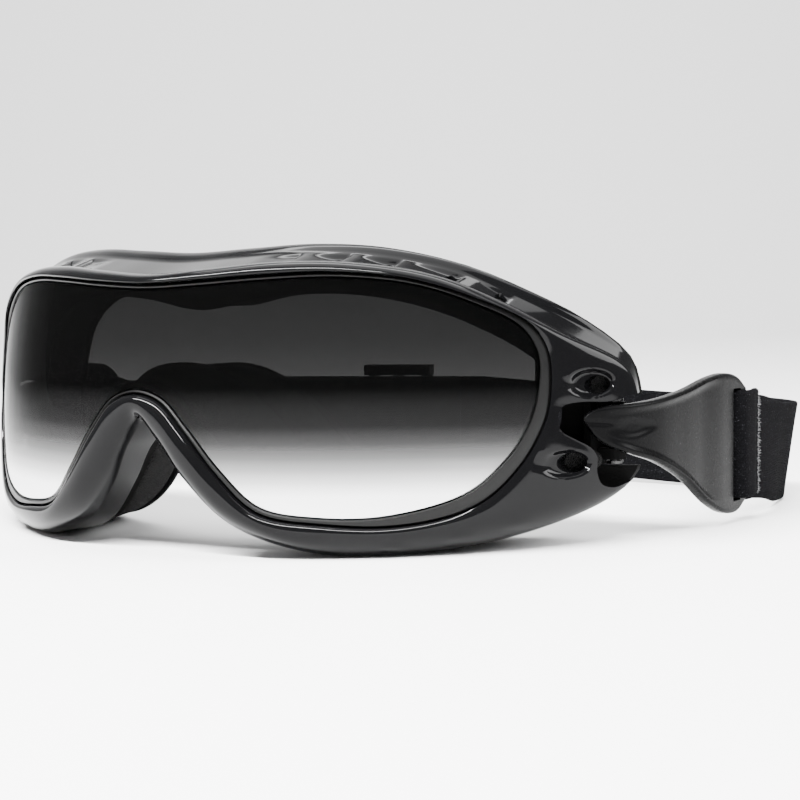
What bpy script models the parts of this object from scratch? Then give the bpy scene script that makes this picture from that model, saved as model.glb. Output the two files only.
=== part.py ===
"""Motorcycle goggles with one wrap-round lens, pinned strap arms and an elastic strap.

All sizes are in millimetres and become metres in solid(). While the pieces are drawn, the origin is the
front of the lens on the nose line: +X is the wearer's left, +Y runs back to the face and +Z is up. At the
end the empty that holds every piece is moved, so that the goggles stand on Z = 0 with their footprint
centred on the origin.
"""

import math

import bmesh
import bpy
import numpy as np
from mathutils import Vector

MM = 0.001

# Overall sizes. The outlines further down are drawn at DRAWN_WIDTH and DRAWN_HEIGHT.
FRAME_WIDTH = 177.4
FRAME_HEIGHT = 65.0
DRAWN_WIDTH = 177.4
DRAWN_HEIGHT = 65.0

# Lens surface
WRAP_RADIUS = 70.5
WRAP_TIGHTENING = 6.0e-8
LENS_LEAN = 0.088
LENS_BOW = 0.0037
LENS_THICKNESS = 2.0

# Shell
SHELL_WALL = 2.4
RIM_WALL = 1.8
BEAD_RISE = 1.8
CHANNEL_DEPTH = 0.9
REAR_CENTRE = 22.0
REAR_CURVE = 0.0053
LAND_HEIGHT = -33.1

# Fits
GAP = 0.3
GASKET_LIP = 1.5
GASKET_BACK = 1.0
CARRIER_THICKNESS = 1.8
RIM_SEAT = 0.5
FOAM_LIP = 0.8
FOAM_SEAT = 0.6
LINING_THICKNESS = 2.0
SCREEN_THICKNESS = 1.0

# Strap arms and their hinges
ARM_THICKNESS = 3.0
PIN_RADIUS = 1.1
PIN_HEAD_RADIUS = 1.9
PIN_HEAD_HEIGHT = 0.6
KNUCKLE_RADIUS = 2.5
KNUCKLE_HEIGHT = 7.0
EAR_THICKNESS = 2.4
BACKPLATE_THICKNESS = 1.6
SLOT_WIDTH = 4.2
SLOT_BAR_WIDTH = 3.2

# Strap
STRAP_WIDTH = 25.4
STRAP_THICKNESS = 1.6
STRAP_PLAY = 0.5
SLIDER_LENGTH = 20.0
SLIDER_RAIL = 3.0
SLIDER_BAR = 3.2
SLIDER_TRAVEL = 8.0
SLIDER_CORE = 0.7
LOOP_LENGTH = 14.2
JOINT_GAP = 0.5
LEG_OFFSET = STRAP_THICKNESS / 2 + GAP / 2
SLIDER_OFFSET = SLIDER_CORE + GAP + STRAP_THICKNESS / 2

# Three samples to a stretch between two outline points
STEPS = 3

# Outlines of the half at +X, from the middle of the brow out to the temple and round to the nose.
LENS_EDGE = (
    (0.0, 22.3), (13.0, 22.9), (27.0, 23.9), (40.0, 24.3), (53.0, 22.7), (63.2, 18.6), (70.2, 14.0),
    (73.1, 8.5), (73.5, 1.0), (72.2, -6.5), (69.0, -13.2), (62.5, -20.2), (50.0, -24.3), (37.5, -24.4),
    (27.5, -22.3), (20.0, -15.0), (13.0, -6.4), (6.8, -0.1), (0.0, 1.8),
)
# The third number is how far the edge lies behind the lens surface.
BEZEL_EDGE = (
    (0.0, 25.6, 1.0), (14.0, 26.6, 1.0), (28.5, 27.8, 1.0), (42.0, 27.5, 1.0), (56.0, 24.8, 1.0),
    (67.0, 19.3, 1.0), (77.0, 12.4, 1.0), (86.0, 5.6, 1.0), (88.4, -1.0, 0.5), (88.7, -9.5, 0.5),
    (88.0, -17.8, 1.0), (82.5, -23.7, 4.0), (67.5, -30.5, 6.0), (50.0, -33.3, 6.0), (34.0, -32.5, 6.0),
    (20.0, -27.4, 6.0), (11.0, -18.9, 5.5), (5.0, -10.3, 4.0), (0.0, -5.0, 4.0),
)
REAR_RIM = (
    (0.0, 30.5, 16.0), (14.0, 31.2, 15.4), (29.0, 31.9, 13.8), (43.0, 30.9, 11.8), (57.0, 27.3, 9.7),
    (69.0, 21.4, 7.4), (78.5, 15.2, 5.2), (85.8, 7.4, 3.8), (87.8, -1.0, 3.8), (88.1, -9.5, 4.0),
    (87.2, -17.6, 4.6), (82.0, -23.6, 8.0), (67.5, -30.4, 12.0), (50.0, -33.4, 15.0), (34.5, -32.8, 15.0),
    (21.5, -28.4, 15.0), (12.8, -19.5, 15.0), (6.8, -11.2, 14.5), (0.0, -6.6, 14.0),
)
# Here the third number is how far the edge lies behind the plan curve of the rear rim.
FACE_OPENING = (
    (0.0, 17.8, 1.0), (13.0, 20.0, 1.0), (27.0, 21.2, 1.0), (40.0, 20.4, 1.0), (51.0, 17.4, 2.0),
    (60.0, 12.8, 3.0), (66.5, 8.0, 4.5), (70.8, 3.0, 5.0), (72.6, -3.0, 5.0), (72.0, -9.0, 5.0),
    (69.0, -14.6, 4.0), (62.0, -19.4, 3.0), (51.0, -21.8, 2.0), (39.5, -21.2, 1.0), (31.0, -17.0, 0.0),
    (25.0, -9.5, -2.0), (18.5, -1.5, -4.0), (9.5, 4.8, -6.0), (0.0, 6.6, -6.0),
)
# Outline points at which a width or a share is given; between two of them it runs smoothly.
BROW, BROW_END, TEMPLE, CHEEK, NOSE_FLANK, NOSE = 0, 5, 8.5, 13, 16, 18
GASKET_WIDTH = {BROW: 1.0, 4: 1.0, 7: 1.9, 9: 2.5, 11: 3.2, CHEEK: 1.4, NOSE: 1.0}
CHANNEL_SHARE = {BROW: 1.0, BROW_END: 1.0, 7: 0.0, NOSE: 0.0}
FOAM_FRONT_SHARE = {BROW: 0.1, BROW_END: 0.2, 7.5: 0.74, 10.5: 0.74, CHEEK: 0.04, NOSE: 0.04}
FOAM_REAR_SHARE = {BROW: 0.15, BROW_END: 0.25, 7.5: 0.74, 10.5: 0.74, CHEEK: 0.06, NOSE_FLANK: 0.3, NOSE: 0.2}
FOAM_THICKNESS = {BROW: 13.0, TEMPLE: 11.0, CHEEK: 14.0, NOSE_FLANK: 17.0, NOSE: 17.0}

# Strap arm: plan points of its outer face from the tip back, with its top and bottom edge and its thickness
# as a share of ARM_THICKNESS.
ARM_STATIONS = (
    (81.2, 48.6, -4.9, -6.4, 0.40),
    (82.8, 50.2, -3.7, -9.6, 0.55),
    (84.9, 52.6, -3.1, -11.6, 0.80),
    (88.2, 57.4, -2.8, -13.6, 0.90),
    (91.2, 66.0, -2.2, -16.2, 1.0),
    (93.1, 77.0, -0.8, -20.8, 1.0),
    (94.5, 89.0, 1.4, -27.6, 1.0),
    (95.3, 97.5, 2.0, -30.6, 1.0),
    (95.8, 104.0, 0.9, -30.8, 1.0),
    (96.1, 108.2, -1.4, -28.8, 0.9),
)
HINGE_X = 82.6
HINGE_Y = 60.6
KNUCKLE_TOP = -5.4
SLOT_CENTRE_Y = 102.9
STRAP_AT_SLOT_Z = -15.0

# Strap path behind the arms: plan points and the height of its centre line.
STRAP_PATH = (
    (96.0, 138.0, -19.7), (94.4, 153.0, -20.4), (84.0, 163.4, -20.4), (66.0, 168.0, -20.2),
    (45.0, 169.8, -19.5), (22.0, 171.4, -18.4), (6.0, 170.8, -17.3), (-29.0, 161.0, -16.5),
    (-68.0, 146.5, -16.5), (-83.0, 138.0, -16.4), (-91.5, 130.0, -16.0),
)
SLIDER_POINT = 7


# ---------------------------------------------------------------- curves and rings


def wrap(x, z):
    """Depth of the lens surface at a place seen from the front."""
    scale = DRAWN_WIDTH / FRAME_WIDTH
    x = x * scale
    return x**2 / (2 * WRAP_RADIUS) + WRAP_TIGHTENING * x**4 + LENS_LEAN * z + LENS_BOW * z**2


def steepness(x, z):
    """Depth along Y for one millimetre square to the lens surface."""
    across = (wrap(x + 0.5, z) - wrap(x - 0.5, z)) / 1.0
    upward = LENS_LEAN + 2 * LENS_BOW * z
    return np.sqrt(1 + across**2 + upward**2)


def rear(x):
    """Plan curve that the rear rim of the shell follows."""
    return REAR_CENTRE + REAR_CURVE * (x * DRAWN_WIDTH / FRAME_WIDTH) ** 2


def catmull(points, steps):
    """Smooth curve from the second point to the last but one, evenly timed by the root of chord length."""
    points = np.asarray(points, float)
    chords = np.linalg.norm(np.diff(points[:, :2], axis=0), axis=1)
    knots = np.concatenate([[0], np.cumsum(np.sqrt(chords))])
    curve = []
    for i in range(1, len(points) - 2):
        p0, p1, p2, p3 = points[i - 1:i + 3]
        t0, t1, t2, t3 = knots[i - 1:i + 3]
        for step in range(steps):
            t = t1 + (t2 - t1) * step / steps
            a1 = ((t1 - t) * p0 + (t - t0) * p1) / (t1 - t0)
            a2 = ((t2 - t) * p1 + (t - t1) * p2) / (t2 - t1)
            a3 = ((t3 - t) * p2 + (t - t2) * p3) / (t3 - t2)
            b1 = ((t2 - t) * a1 + (t - t0) * a2) / (t2 - t0)
            b2 = ((t3 - t) * a2 + (t - t1) * a3) / (t3 - t1)
            curve.append(((t2 - t) * b1 + (t - t1) * b2) / (t2 - t1))
    curve.append(points[-2])
    return np.array(curve)


def outline(points):
    """Closed outline, clockwise from the brow as seen from the front, from the points of its +X half."""
    points = np.array(points, float)
    points[:, 0] *= FRAME_WIDTH / DRAWN_WIDTH
    points[:, 1] *= FRAME_HEIGHT / DRAWN_HEIGHT
    turned = np.ones(points.shape[1])
    turned[0] = -1
    half = catmull([points[1] * turned, *points, points[-2] * turned], STEPS)
    return np.vstack([half, half[-2:0:-1] * turned])


def along(values):
    """A value that changes round the outlines, from its values at some outline points."""
    stations = np.array(sorted(values))
    half = np.linspace(0, stations[-1], int(stations[-1]) * STEPS + 1)
    index = np.clip(np.searchsorted(stations, half, side="right") - 1, 0, len(stations) - 2)
    share = (half - stations[index]) / (stations[index + 1] - stations[index])
    share = share * share * (3 - 2 * share)
    level = np.array([values[key] for key in stations])
    half = level[index] + (level[index + 1] - level[index]) * share
    return np.concatenate([half, half[-2:0:-1]])


def outward(ring):
    """Directions away from the opening, seen from the front, at each point of a closed ring."""
    flat = ring[:, [0, -1]] if ring.shape[1] == 3 else ring
    tangent = np.roll(flat, -1, axis=0) - np.roll(flat, 1, axis=0)
    tangent /= np.linalg.norm(tangent, axis=1)[:, None]
    return np.column_stack([-tangent[:, 1], tangent[:, 0]])


def grow(flat, distance):
    """A flat outline moved outward, or inward where the distance is negative."""
    return flat + outward(flat) * np.reshape(distance, (-1, 1))


def widen(ring, distance):
    """A ring in space moved outward as seen from the front, with its depth kept."""
    moved = grow(ring[:, [0, 2]], distance)
    return np.column_stack([moved[:, 0], ring[:, 1], moved[:, 1]])


def ring_at(flat, skin=0.0, depth=0.0):
    """Ring over a flat outline: skin is measured square to the lens surface, depth along Y."""
    x, z = flat[:, 0], flat[:, 1]
    return np.column_stack([x, wrap(x, z) + skin * steepness(x, z) + depth, z])


def deepen(ring, distance):
    return ring + np.outer(np.broadcast_to(distance, len(ring)), (0, 1, 0))


def mix(first, second, share):
    share = np.reshape(share, (-1, 1))
    return first * (1 - share) + second * share


def toward(ring, other, distance):
    """A ring moved a distance along the straight lines to another ring."""
    return mix(ring, other, distance / np.linalg.norm(other - ring, axis=1))


# ---------------------------------------------------------------- solids


def material(name, colour, roughness, metallic=0.0, alpha=1.0):
    made = bpy.data.materials.new(name)
    made.use_nodes = True
    shader = made.node_tree.nodes["Principled BSDF"]
    shader.inputs["Base Color"].default_value = (*colour, 1.0)
    shader.inputs["Roughness"].default_value = roughness
    shader.inputs["Metallic"].default_value = metallic
    shader.inputs["Alpha"].default_value = alpha
    return made


def solid(name, points, faces, finish, parent, pivot=(0.0, 0.0, 0.0), sharp=40):
    """Mesh object from points in millimetres; its origin is the pivot."""
    mesh = bpy.data.meshes.new(name)
    pivot = Vector(pivot)
    mesh.from_pydata([(Vector(p) - pivot) * MM for p in points], [], faces)
    shape = bmesh.new()
    shape.from_mesh(mesh)
    bmesh.ops.recalc_face_normals(shape, faces=shape.faces)
    bmesh.ops.triangulate(shape, faces=shape.faces)
    shape.to_mesh(mesh)
    shape.free()
    mesh.shade_smooth()
    mesh.set_sharp_from_angle(angle=math.radians(sharp))
    made = bpy.data.objects.new(name, mesh)
    bpy.context.scene.collection.objects.link(made)
    made.location = pivot * MM
    made.parent = parent
    if finish:
        mesh.materials.append(finish)
    return made


def loft(rings, around=True, onward=True):
    """Points and faces of a skin over rings of equal length: around closes each ring, onward the stack."""
    count = len(rings[0])
    points = np.vstack(rings)
    faces = []
    for i in range(len(rings) if onward else len(rings) - 1):
        a, b = i * count, (i + 1) % len(rings) * count
        for j in range(count if around else count - 1):
            k = (j + 1) % count
            faces.append((a + j, a + k, b + k, b + j))
    if around and not onward:
        faces.append(tuple(range(count)))
        faces.append(tuple(range(len(points) - count, len(points))))
    if onward and not around:
        faces.append(tuple(i * count for i in range(len(rings))))
        faces.append(tuple(i * count + count - 1 for i in range(len(rings))))
    return points.tolist(), faces


def prism(plan, low, high, axis="z"):
    """Straight solid over a plan: (x, y) points between two heights, or (x, z) points between two depths."""
    if axis == "z":
        rings = [[(x, y, level) for x, y in plan] for level in (low, high)]
    else:
        rings = [[(x, level, z) for x, z in plan] for level in (low, high)]
    return loft([np.array(ring) for ring in rings], onward=False)


def box_plan(low, high):
    return [(low[0], low[1]), (high[0], low[1]), (high[0], high[1]), (low[0], high[1])]


def disc_plan(centre, radius, count=20, stretch=1.0):
    turns = [2 * math.pi * i / count for i in range(count)]
    return [(centre[0] + stretch * radius * math.cos(t), centre[1] + radius * math.sin(t)) for t in turns]


def helper(name, points, faces, parent):
    made = solid(name, points, faces, None, parent)
    made.hide_render = True
    made.display_type = "WIRE"
    return made


def combine(piece, others, operation):
    for other in others:
        step = piece.modifiers.new(other.name, "BOOLEAN")
        step.operation = operation
        step.object = other
        step.solver = "EXACT"


def mirrored(points, side):
    return [(side * x, y, z) for x, y, z in points]


# ---------------------------------------------------------------- shell, lens and gasket


class Outlines:
    """The rings that the shell and everything inside it are measured from."""

    def __init__(self):
        bezel = outline(BEZEL_EDGE)
        rim = outline(REAR_RIM)
        face = outline(FACE_OPENING)
        self.lens = outline(LENS_EDGE)
        self.gasket = grow(self.lens, along(GASKET_WIDTH))
        self.opening = grow(self.gasket, GAP)
        self.bezel = ring_at(bezel[:, :2], depth=bezel[:, 2])
        self.rim = ring_at(rim[:, :2], depth=rim[:, 2])
        self.face = np.column_stack([face[:, 0], rear(face[:, 0]) + face[:, 2], face[:, 1]])
        # A lower frame has a thinner brow, which leaves less room for the channel.
        room_left = min(1, 3 * FRAME_HEIGHT / DRAWN_HEIGHT - 2)
        self.channel = CHANNEL_DEPTH * room_left * along(CHANNEL_SHARE)
        front = self.bezel[:, [0, 2]]
        room = np.linalg.norm(self.opening - front, axis=1)
        wall = np.minimum(SHELL_WALL + self.channel, 0.92 * room)
        self.corner = ring_at(toward(front, self.opening, wall), skin=SHELL_WALL)
        self.inner_rim = toward(self.rim, self.face, RIM_WALL)
        self.inner_wall = widen(mix(self.corner, self.inner_rim, 0.5), -0.6 * self.channel)


def grounded(ring):
    """A ring with its lowest stretch flattened, so that the cheeks rest on flat lands."""
    ring = ring.copy()
    ring[:, 2] = np.maximum(ring[:, 2], LAND_HEIGHT * FRAME_HEIGHT / DRAWN_HEIGHT)
    return ring


def bead_ring(lines, turn):
    """Ring of the rounded bezel between its crest, at turn 0, and its outer edge, at turn 90."""
    crest = 0.25
    share = crest + (1 - crest) * math.sin(math.radians(turn))
    flat = lines.opening * (1 - share) + lines.bezel[:, [0, 2]] * share
    behind = lines.bezel[:, 1] - wrap(lines.bezel[:, 0], lines.bezel[:, 2])
    depth = behind - (behind + BEAD_RISE) * math.cos(math.radians(turn))
    return grounded(ring_at(flat, depth=depth))


def shell_rings(lines):
    floor = [widen(mix(lines.bezel, lines.rim, share), -lines.channel) for share in (0.12, 0.7)]
    return [
        ring_at(lines.opening, skin=-0.8),
        bead_ring(lines, 0),
        bead_ring(lines, 35),
        bead_ring(lines, 65),
        grounded(lines.bezel),
        grounded(floor[0]),
        grounded(floor[1]),
        grounded(mix(lines.bezel, lines.rim, 0.8)),
        grounded(lines.rim),
        lines.inner_rim,
        lines.inner_wall,
        lines.corner,
        ring_at(lines.opening, skin=SHELL_WALL),
    ]


# Brow vents: distance from the middle and length of the scoop.
BROW_VENTS = ((35.0, 9.0), (44.0, 8.0), (53.5, 8.5), (65.5, 5.0))
BROW_VENT_WIDTH = 5.0
# Temple vents: centre, half length and half height of the through hole, as seen from the front.
TEMPLE_VENTS = {"upper": (82.3, 1.4, 1.9, 2.0), "lower": (78.9, -14.8, 2.3, 2.1)}
# Notch for the arm in the temple panel, as seen from the front.
NOTCH = (
    (76.8, -5.0), (77.6, -2.7), (80.0, -2.0), (85.0, -2.0), (88.0, -0.8), (98.0, -0.8), (98.0, -19.4),
    (88.0, -19.4), (85.2, -20.6), (83.4, -19.8), (82.6, -17.0), (82.6, -13.6), (81.6, -11.6),
    (79.4, -9.8), (77.4, -8.0),
)


def spread(x, z):
    """A place drawn on the temple panel, carried to the actual frame size."""
    return x + (FRAME_WIDTH - DRAWN_WIDTH) / 2, z * FRAME_HEIGHT / DRAWN_HEIGHT


def brow_vent_cutter(lines, side, place, length, parent):
    """Wedge that dives outboard from the channel floor into the shell."""
    middle = mix(lines.bezel, lines.rim, 0.42)
    half = middle[:len(middle) // 2]
    place = place * FRAME_WIDTH / DRAWN_WIDTH
    index = int(np.argmin(np.abs(half[:, 0] - place)[:int(7 * STEPS)]))
    here, ahead = half[index], half[index + 1]
    run = Vector(ahead - half[index - 1]).normalized()
    back = Vector((0, 1, 0))
    back = (back - run * back.dot(run)).normalized()
    up = run.cross(back)
    up = up if up.z > 0 else -up
    centre = Vector(here)
    corners = []
    for along_run, depth_low in ((-length / 2, 0.4), (length / 2, 4.6)):
        for across in (-BROW_VENT_WIDTH / 2, BROW_VENT_WIDTH / 2):
            for level in (-CHANNEL_DEPTH - depth_low, 4.0):
                corners.append(centre + run * along_run + back * across + up * level)
    a = [tuple(p) for p in corners]
    faces = [(0, 1, 3, 2), (4, 6, 7, 5), (0, 4, 5, 1), (2, 3, 7, 6), (0, 2, 6, 4), (1, 5, 7, 3)]
    return helper(f"cut_brow_vent_{side}_{place:.0f}", mirrored(a, side), faces, parent)


def temple_vent_cutter(which, side, parent):
    x, z, half_length, half_height = TEMPLE_VENTS[which]
    x, z = spread(x, z)
    plan = disc_plan((x, z), half_height, 16, half_length / half_height)
    depth = float(wrap(x, z))
    points, faces = prism(plan, depth - 8, depth + 9, axis="y")
    return helper(f"cut_vent_{which}_{side}", mirrored(points, side), faces, parent)


def notch_cutter(side, parent):
    plan = [spread(x, z) for x, z in NOTCH]
    points, faces = prism(plan, 20, 90, axis="y")
    return helper(f"cut_notch_{side}", mirrored(points, side), faces, parent)


def front_frame(lines, finish, parent):
    points, faces = loft(shell_rings(lines))
    shell = solid("front_frame", points, faces, finish, parent)
    for side in (1, -1):
        cutters = [notch_cutter(side, parent)]
        cutters += [temple_vent_cutter(which, side, parent) for which in TEMPLE_VENTS]
        cutters += [brow_vent_cutter(lines, side, *vent, parent) for vent in BROW_VENTS]
        combine(shell, cutters, "DIFFERENCE")
    return shell


def lens(lines, finish, parent):
    """Shield cut to its edge, with rings that close in on the line midway between brow and cheek."""
    flat = lines.lens
    count = len(flat)
    outermost = int(np.argmax(flat[:count // 2, 0]))
    upper = flat[:outermost + 1]
    lower = flat[outermost:count // 2 + 1]
    x = 0.93 * flat[:, 0]
    top = np.interp(np.abs(x), upper[:, 0], upper[:, 1])
    bottom = np.interp(np.abs(x), lower[::-1, 0], lower[::-1, 1])
    spine = np.column_stack([x, (top + bottom) / 2])
    flats = [flat * (1 - share) + spine * share for share in (0.0, 0.5, 0.94)]
    front = [ring_at(f, skin=0.0) for f in reversed(flats)]
    back = [ring_at(f, skin=LENS_THICKNESS) for f in flats]
    points, faces = loft(front + back, onward=False)
    return solid("lens", points, faces, finish, parent, sharp=50)


def lens_gasket(lines, finish, parent):
    inner = grow(lines.lens, 1.4 * GAP)
    lip = grow(lines.lens, -GASKET_LIP)
    seat = LENS_THICKNESS + 1.6 * GAP
    rings = [
        ring_at(inner, skin=-0.3),
        ring_at(lines.gasket, skin=-0.3),
        ring_at(lines.gasket, skin=seat + GASKET_BACK),
        ring_at(lip, skin=seat + GASKET_BACK),
        ring_at(lip, skin=seat),
        ring_at(inner, skin=seat),
    ]
    return solid("lens_gasket", *loft(rings), finish, parent)


# ---------------------------------------------------------------- carrier, foam and screens


def carrier_back(lines):
    return deepen(widen(lines.rim, -GAP), RIM_SEAT + CARRIER_THICKNESS)


def hinge_place():
    x, _ = spread(HINGE_X, 0)
    return x, HINGE_Y + float(wrap(x, 0) - wrap_drawn(HINGE_X))


def wrap_drawn(x):
    return x**2 / (2 * WRAP_RADIUS) + WRAP_TIGHTENING * x**4


def hinge_block_parts(side, parent):
    """Backplate behind the notch and the two ears that hold the pin."""
    x, y = hinge_place()
    clearance = 2 * GAP
    plate_outer = x - KNUCKLE_RADIUS - clearance
    plate_inner = plate_outer - BACKPLATE_THICKNESS
    top = KNUCKLE_TOP + GAP
    bottom = KNUCKLE_TOP - KNUCKLE_HEIGHT - GAP
    low, high = bottom - EAR_THICKNESS - 1.4, top + EAR_THICKNESS + 1.4
    front = y - 6.0
    plate = prism(box_plan((plate_inner, front), (plate_outer, y + KNUCKLE_RADIUS)), low, high)
    made = [helper(f"hinge_plate_{side}", mirrored(plate[0], side), plate[1], parent)]
    for name, level in (("upper", top), ("lower", bottom - EAR_THICKNESS)):
        turns = [math.radians(t) for t in range(-90, 91, 20)]
        nose = [(x + KNUCKLE_RADIUS * math.cos(t), y + 0.96 * KNUCKLE_RADIUS * math.sin(t)) for t in turns]
        root = plate_outer - 0.7 * BACKPLATE_THICKNESS
        plan = [(root, y + KNUCKLE_RADIUS - 0.1), (root, y - KNUCKLE_RADIUS), *nose]
        ear = prism(plan, level, level + EAR_THICKNESS)
        made.append(helper(f"hinge_ear_{name}_{side}", mirrored(ear[0], side), ear[1], parent))
    return made


def arm_corridor(side, parent):
    """Room through the carrier for the arm, its knuckle and its swing."""
    x, y = hinge_place()
    inner = x - KNUCKLE_RADIUS - 2 * GAP - BACKPLATE_THICKNESS / 2
    low = KNUCKLE_TOP - KNUCKLE_HEIGHT - EAR_THICKNESS - 1.6
    points, faces = prism(box_plan((inner, y - 20), (x + 20, y + 30)), low, -1.0)
    return helper(f"cut_corridor_{side}", mirrored(points, side), faces, parent)


def pin_hole(name, side, radius, parent):
    x, y = hinge_place()
    reach = GAP + EAR_THICKNESS + 0.5
    low, high = KNUCKLE_TOP - KNUCKLE_HEIGHT - reach, KNUCKLE_TOP + reach
    points, faces = prism(disc_plan((x, y), radius, 16), low, high)
    return helper(f"cut_{name}_{side}", mirrored(points, side), faces, parent)


def foam_carrier(lines, finish, parent):
    rim = widen(lines.rim, -GAP)
    rings = [
        deepen(rim, RIM_SEAT),
        deepen(rim, RIM_SEAT + CARRIER_THICKNESS),
        deepen(lines.face, CARRIER_THICKNESS),
        lines.face,
    ]
    carrier = solid("foam_carrier", *loft([grounded(r) for r in rings]), finish, parent)
    for side in (1, -1):
        combine(carrier, [arm_corridor(side, parent)], "DIFFERENCE")
        combine(carrier, hinge_block_parts(side, parent), "UNION")
        combine(carrier, [pin_hole("ear_hole", side, PIN_RADIUS + GAP, parent)], "DIFFERENCE")
    return carrier


def foam_rings(lines, front_gap, thickness_before, thickness, front, back):
    """Four rings of a cushion between two shares of the way from the rim to the face opening."""
    outer = carrier_back(lines)
    inner = deepen(toward(lines.face, lines.rim, FOAM_LIP), CARRIER_THICKNESS)
    start = np.asarray(thickness_before) + front_gap
    end = start + thickness
    return [
        grounded(deepen(mix(outer, inner, along(front)), start)),
        grounded(deepen(mix(outer, inner, along(back)), end)),
        deepen(inner, end),
        deepen(inner, start),
    ]


def foam_pad(lines, finish, parent):
    rings = foam_rings(lines, FOAM_SEAT, 0.0, along(FOAM_THICKNESS), FOAM_FRONT_SHARE, FOAM_REAR_SHARE)
    return solid("foam_pad", *loft(rings), finish, parent)


def face_lining(lines, finish, parent):
    before = along(FOAM_THICKNESS) + FOAM_SEAT
    rings = foam_rings(lines, FOAM_SEAT, before, LINING_THICKNESS, FOAM_REAR_SHARE, FOAM_REAR_SHARE)
    return solid("face_lining", *loft(rings), finish, parent)


def brow_screen(lines, side, finish, parent):
    """Breathable strip under the brow vents, a constant gap below the shell's inner wall."""
    first, last = int(2 * STEPS), int(5.4 * STEPS)
    paths = [
        mix(lines.corner, lines.inner_wall, 0.6),
        lines.inner_wall,
        mix(lines.inner_wall, lines.inner_rim, 0.7),
    ]
    near = [widen(path, -GAP - 0.1)[first:last] for path in paths]
    far = [widen(path, -GAP - 0.1 - SCREEN_THICKNESS)[first:last] for path in reversed(paths)]
    points, faces = loft(near + far, around=False)
    name = "top_vent_screen_" + ("left" if side > 0 else "right")
    return solid(name, mirrored(points, side), faces, finish, parent)


def temple_screen(which, side, finish, parent):
    x, z, half_length, half_height = TEMPLE_VENTS[which]
    x, z = spread(x, z)
    cover = 0.6
    plan = np.array(disc_plan((x, z), half_height + cover, 16, (half_length + cover) / (half_height + cover)))
    front = SHELL_WALL + 2 * GAP
    rings = [ring_at(plan, skin=front), ring_at(plan, skin=front + 0.6 * SCREEN_THICKNESS)]
    points, faces = loft(rings, onward=False)
    name = f"side_vent_screen_{which}_" + ("left" if side > 0 else "right")
    return solid(name, mirrored(points, side), faces, finish, parent)


# ---------------------------------------------------------------- strap arms


class ArmLine:
    """Outer face of the arm in plan, carried along with the hinge when the frame changes size."""

    def __init__(self):
        x, y = hinge_place()
        self.shift = np.array([x - HINGE_X, y - HINGE_Y])
        stations = np.array(ARM_STATIONS)
        ends = [2 * stations[0] - stations[1], *stations, 2 * stations[-1] - stations[-2]]
        self.line = catmull(ends, 3)
        self.line[:, :2] += self.shift
        run = np.gradient(self.line[:, :2], axis=0)
        run /= np.linalg.norm(run, axis=1)[:, None]
        self.run = run
        self.normal = np.column_stack([run[:, 1], -run[:, 0]])

    def end_frame(self):
        """Centre of the slot on the outer face, with the directions along the arm and outward."""
        y = SLOT_CENTRE_Y + self.shift[1]
        x = float(np.interp(y, self.line[:, 1], self.line[:, 0]))
        tip, start = self.line[-1, :2], self.line[-10, :2]
        run = (tip - start) / np.linalg.norm(tip - start)
        return np.array([x, y]), run, np.array([run[1], -run[0]])


def arm_body(arm):
    """Rounded-edge plate swept along the arm."""
    rings = []
    for (x, y, top, bottom, share), normal in zip(arm.line, arm.normal):
        thick = ARM_THICKNESS * share
        edge = min(0.8, 0.3 * thick, 0.3 * (top - bottom))
        section = (
            (0, top - edge), (-edge, top), (-thick + edge, top), (-thick, top - edge),
            (-thick, bottom + edge), (-thick + edge, bottom), (-edge, bottom), (0, bottom + edge),
        )
        rings.append(np.array([(x + n * normal[0], y + n * normal[1], z) for n, z in section]))
    return loft(rings, onward=False)


def knuckle(arm):
    """Barrel round the pin with the web that joins it to the inner face of the arm."""
    x, y = hinge_place()
    nearest = int(np.argmin(np.linalg.norm(arm.line[:, :2] - (x, y), axis=1)))
    normal, run = arm.normal[nearest], arm.run[nearest]
    reach = float(np.dot(arm.line[nearest, :2] - (x, y), normal)) - 0.5 * ARM_THICKNESS
    facing = math.atan2(normal[1], normal[0])
    turns = [facing + math.radians(t) for t in range(90, 271, 20)]
    plan = [(x + KNUCKLE_RADIUS * math.cos(t), y + KNUCKLE_RADIUS * math.sin(t)) for t in turns]
    for sign in (-1, 1):
        corner = np.array([x, y]) + reach * normal + sign * KNUCKLE_RADIUS * run
        plan.append(tuple(corner))
    return prism(plan, KNUCKLE_TOP - KNUCKLE_HEIGHT, KNUCKLE_TOP)


def slot_box(arm):
    place, run, normal = arm.end_frame()
    half = SLOT_WIDTH / 2
    plan = [place + a * half * run + b * 8 * normal for a, b in ((-1, -1), (1, -1), (1, 1), (-1, 1))]
    reach = STRAP_WIDTH / 2 + STRAP_PLAY
    return prism([tuple(p) for p in plan], STRAP_AT_SLOT_Z - reach, STRAP_AT_SLOT_Z + reach)


def outrigger(arm, side, finish, parent):
    x, y = hinge_place()
    pivot = (side * x, y, KNUCKLE_TOP - KNUCKLE_HEIGHT / 2)
    points, faces = arm_body(arm)
    name = "outrigger_" + ("left" if side > 0 else "right")
    made = solid(name, mirrored(points, side), faces, finish, parent, pivot)
    barrel, barrel_faces = knuckle(arm)
    combine(made, [helper(f"knuckle_{side}", mirrored(barrel, side), barrel_faces, parent)], "UNION")
    slot, slot_faces = slot_box(arm)
    cutters = [helper(f"cut_slot_{side}", mirrored(slot, side), slot_faces, parent)]
    cutters.append(pin_hole("knuckle_hole", side, PIN_RADIUS + GAP, parent))
    combine(made, cutters, "DIFFERENCE")
    return made


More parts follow.
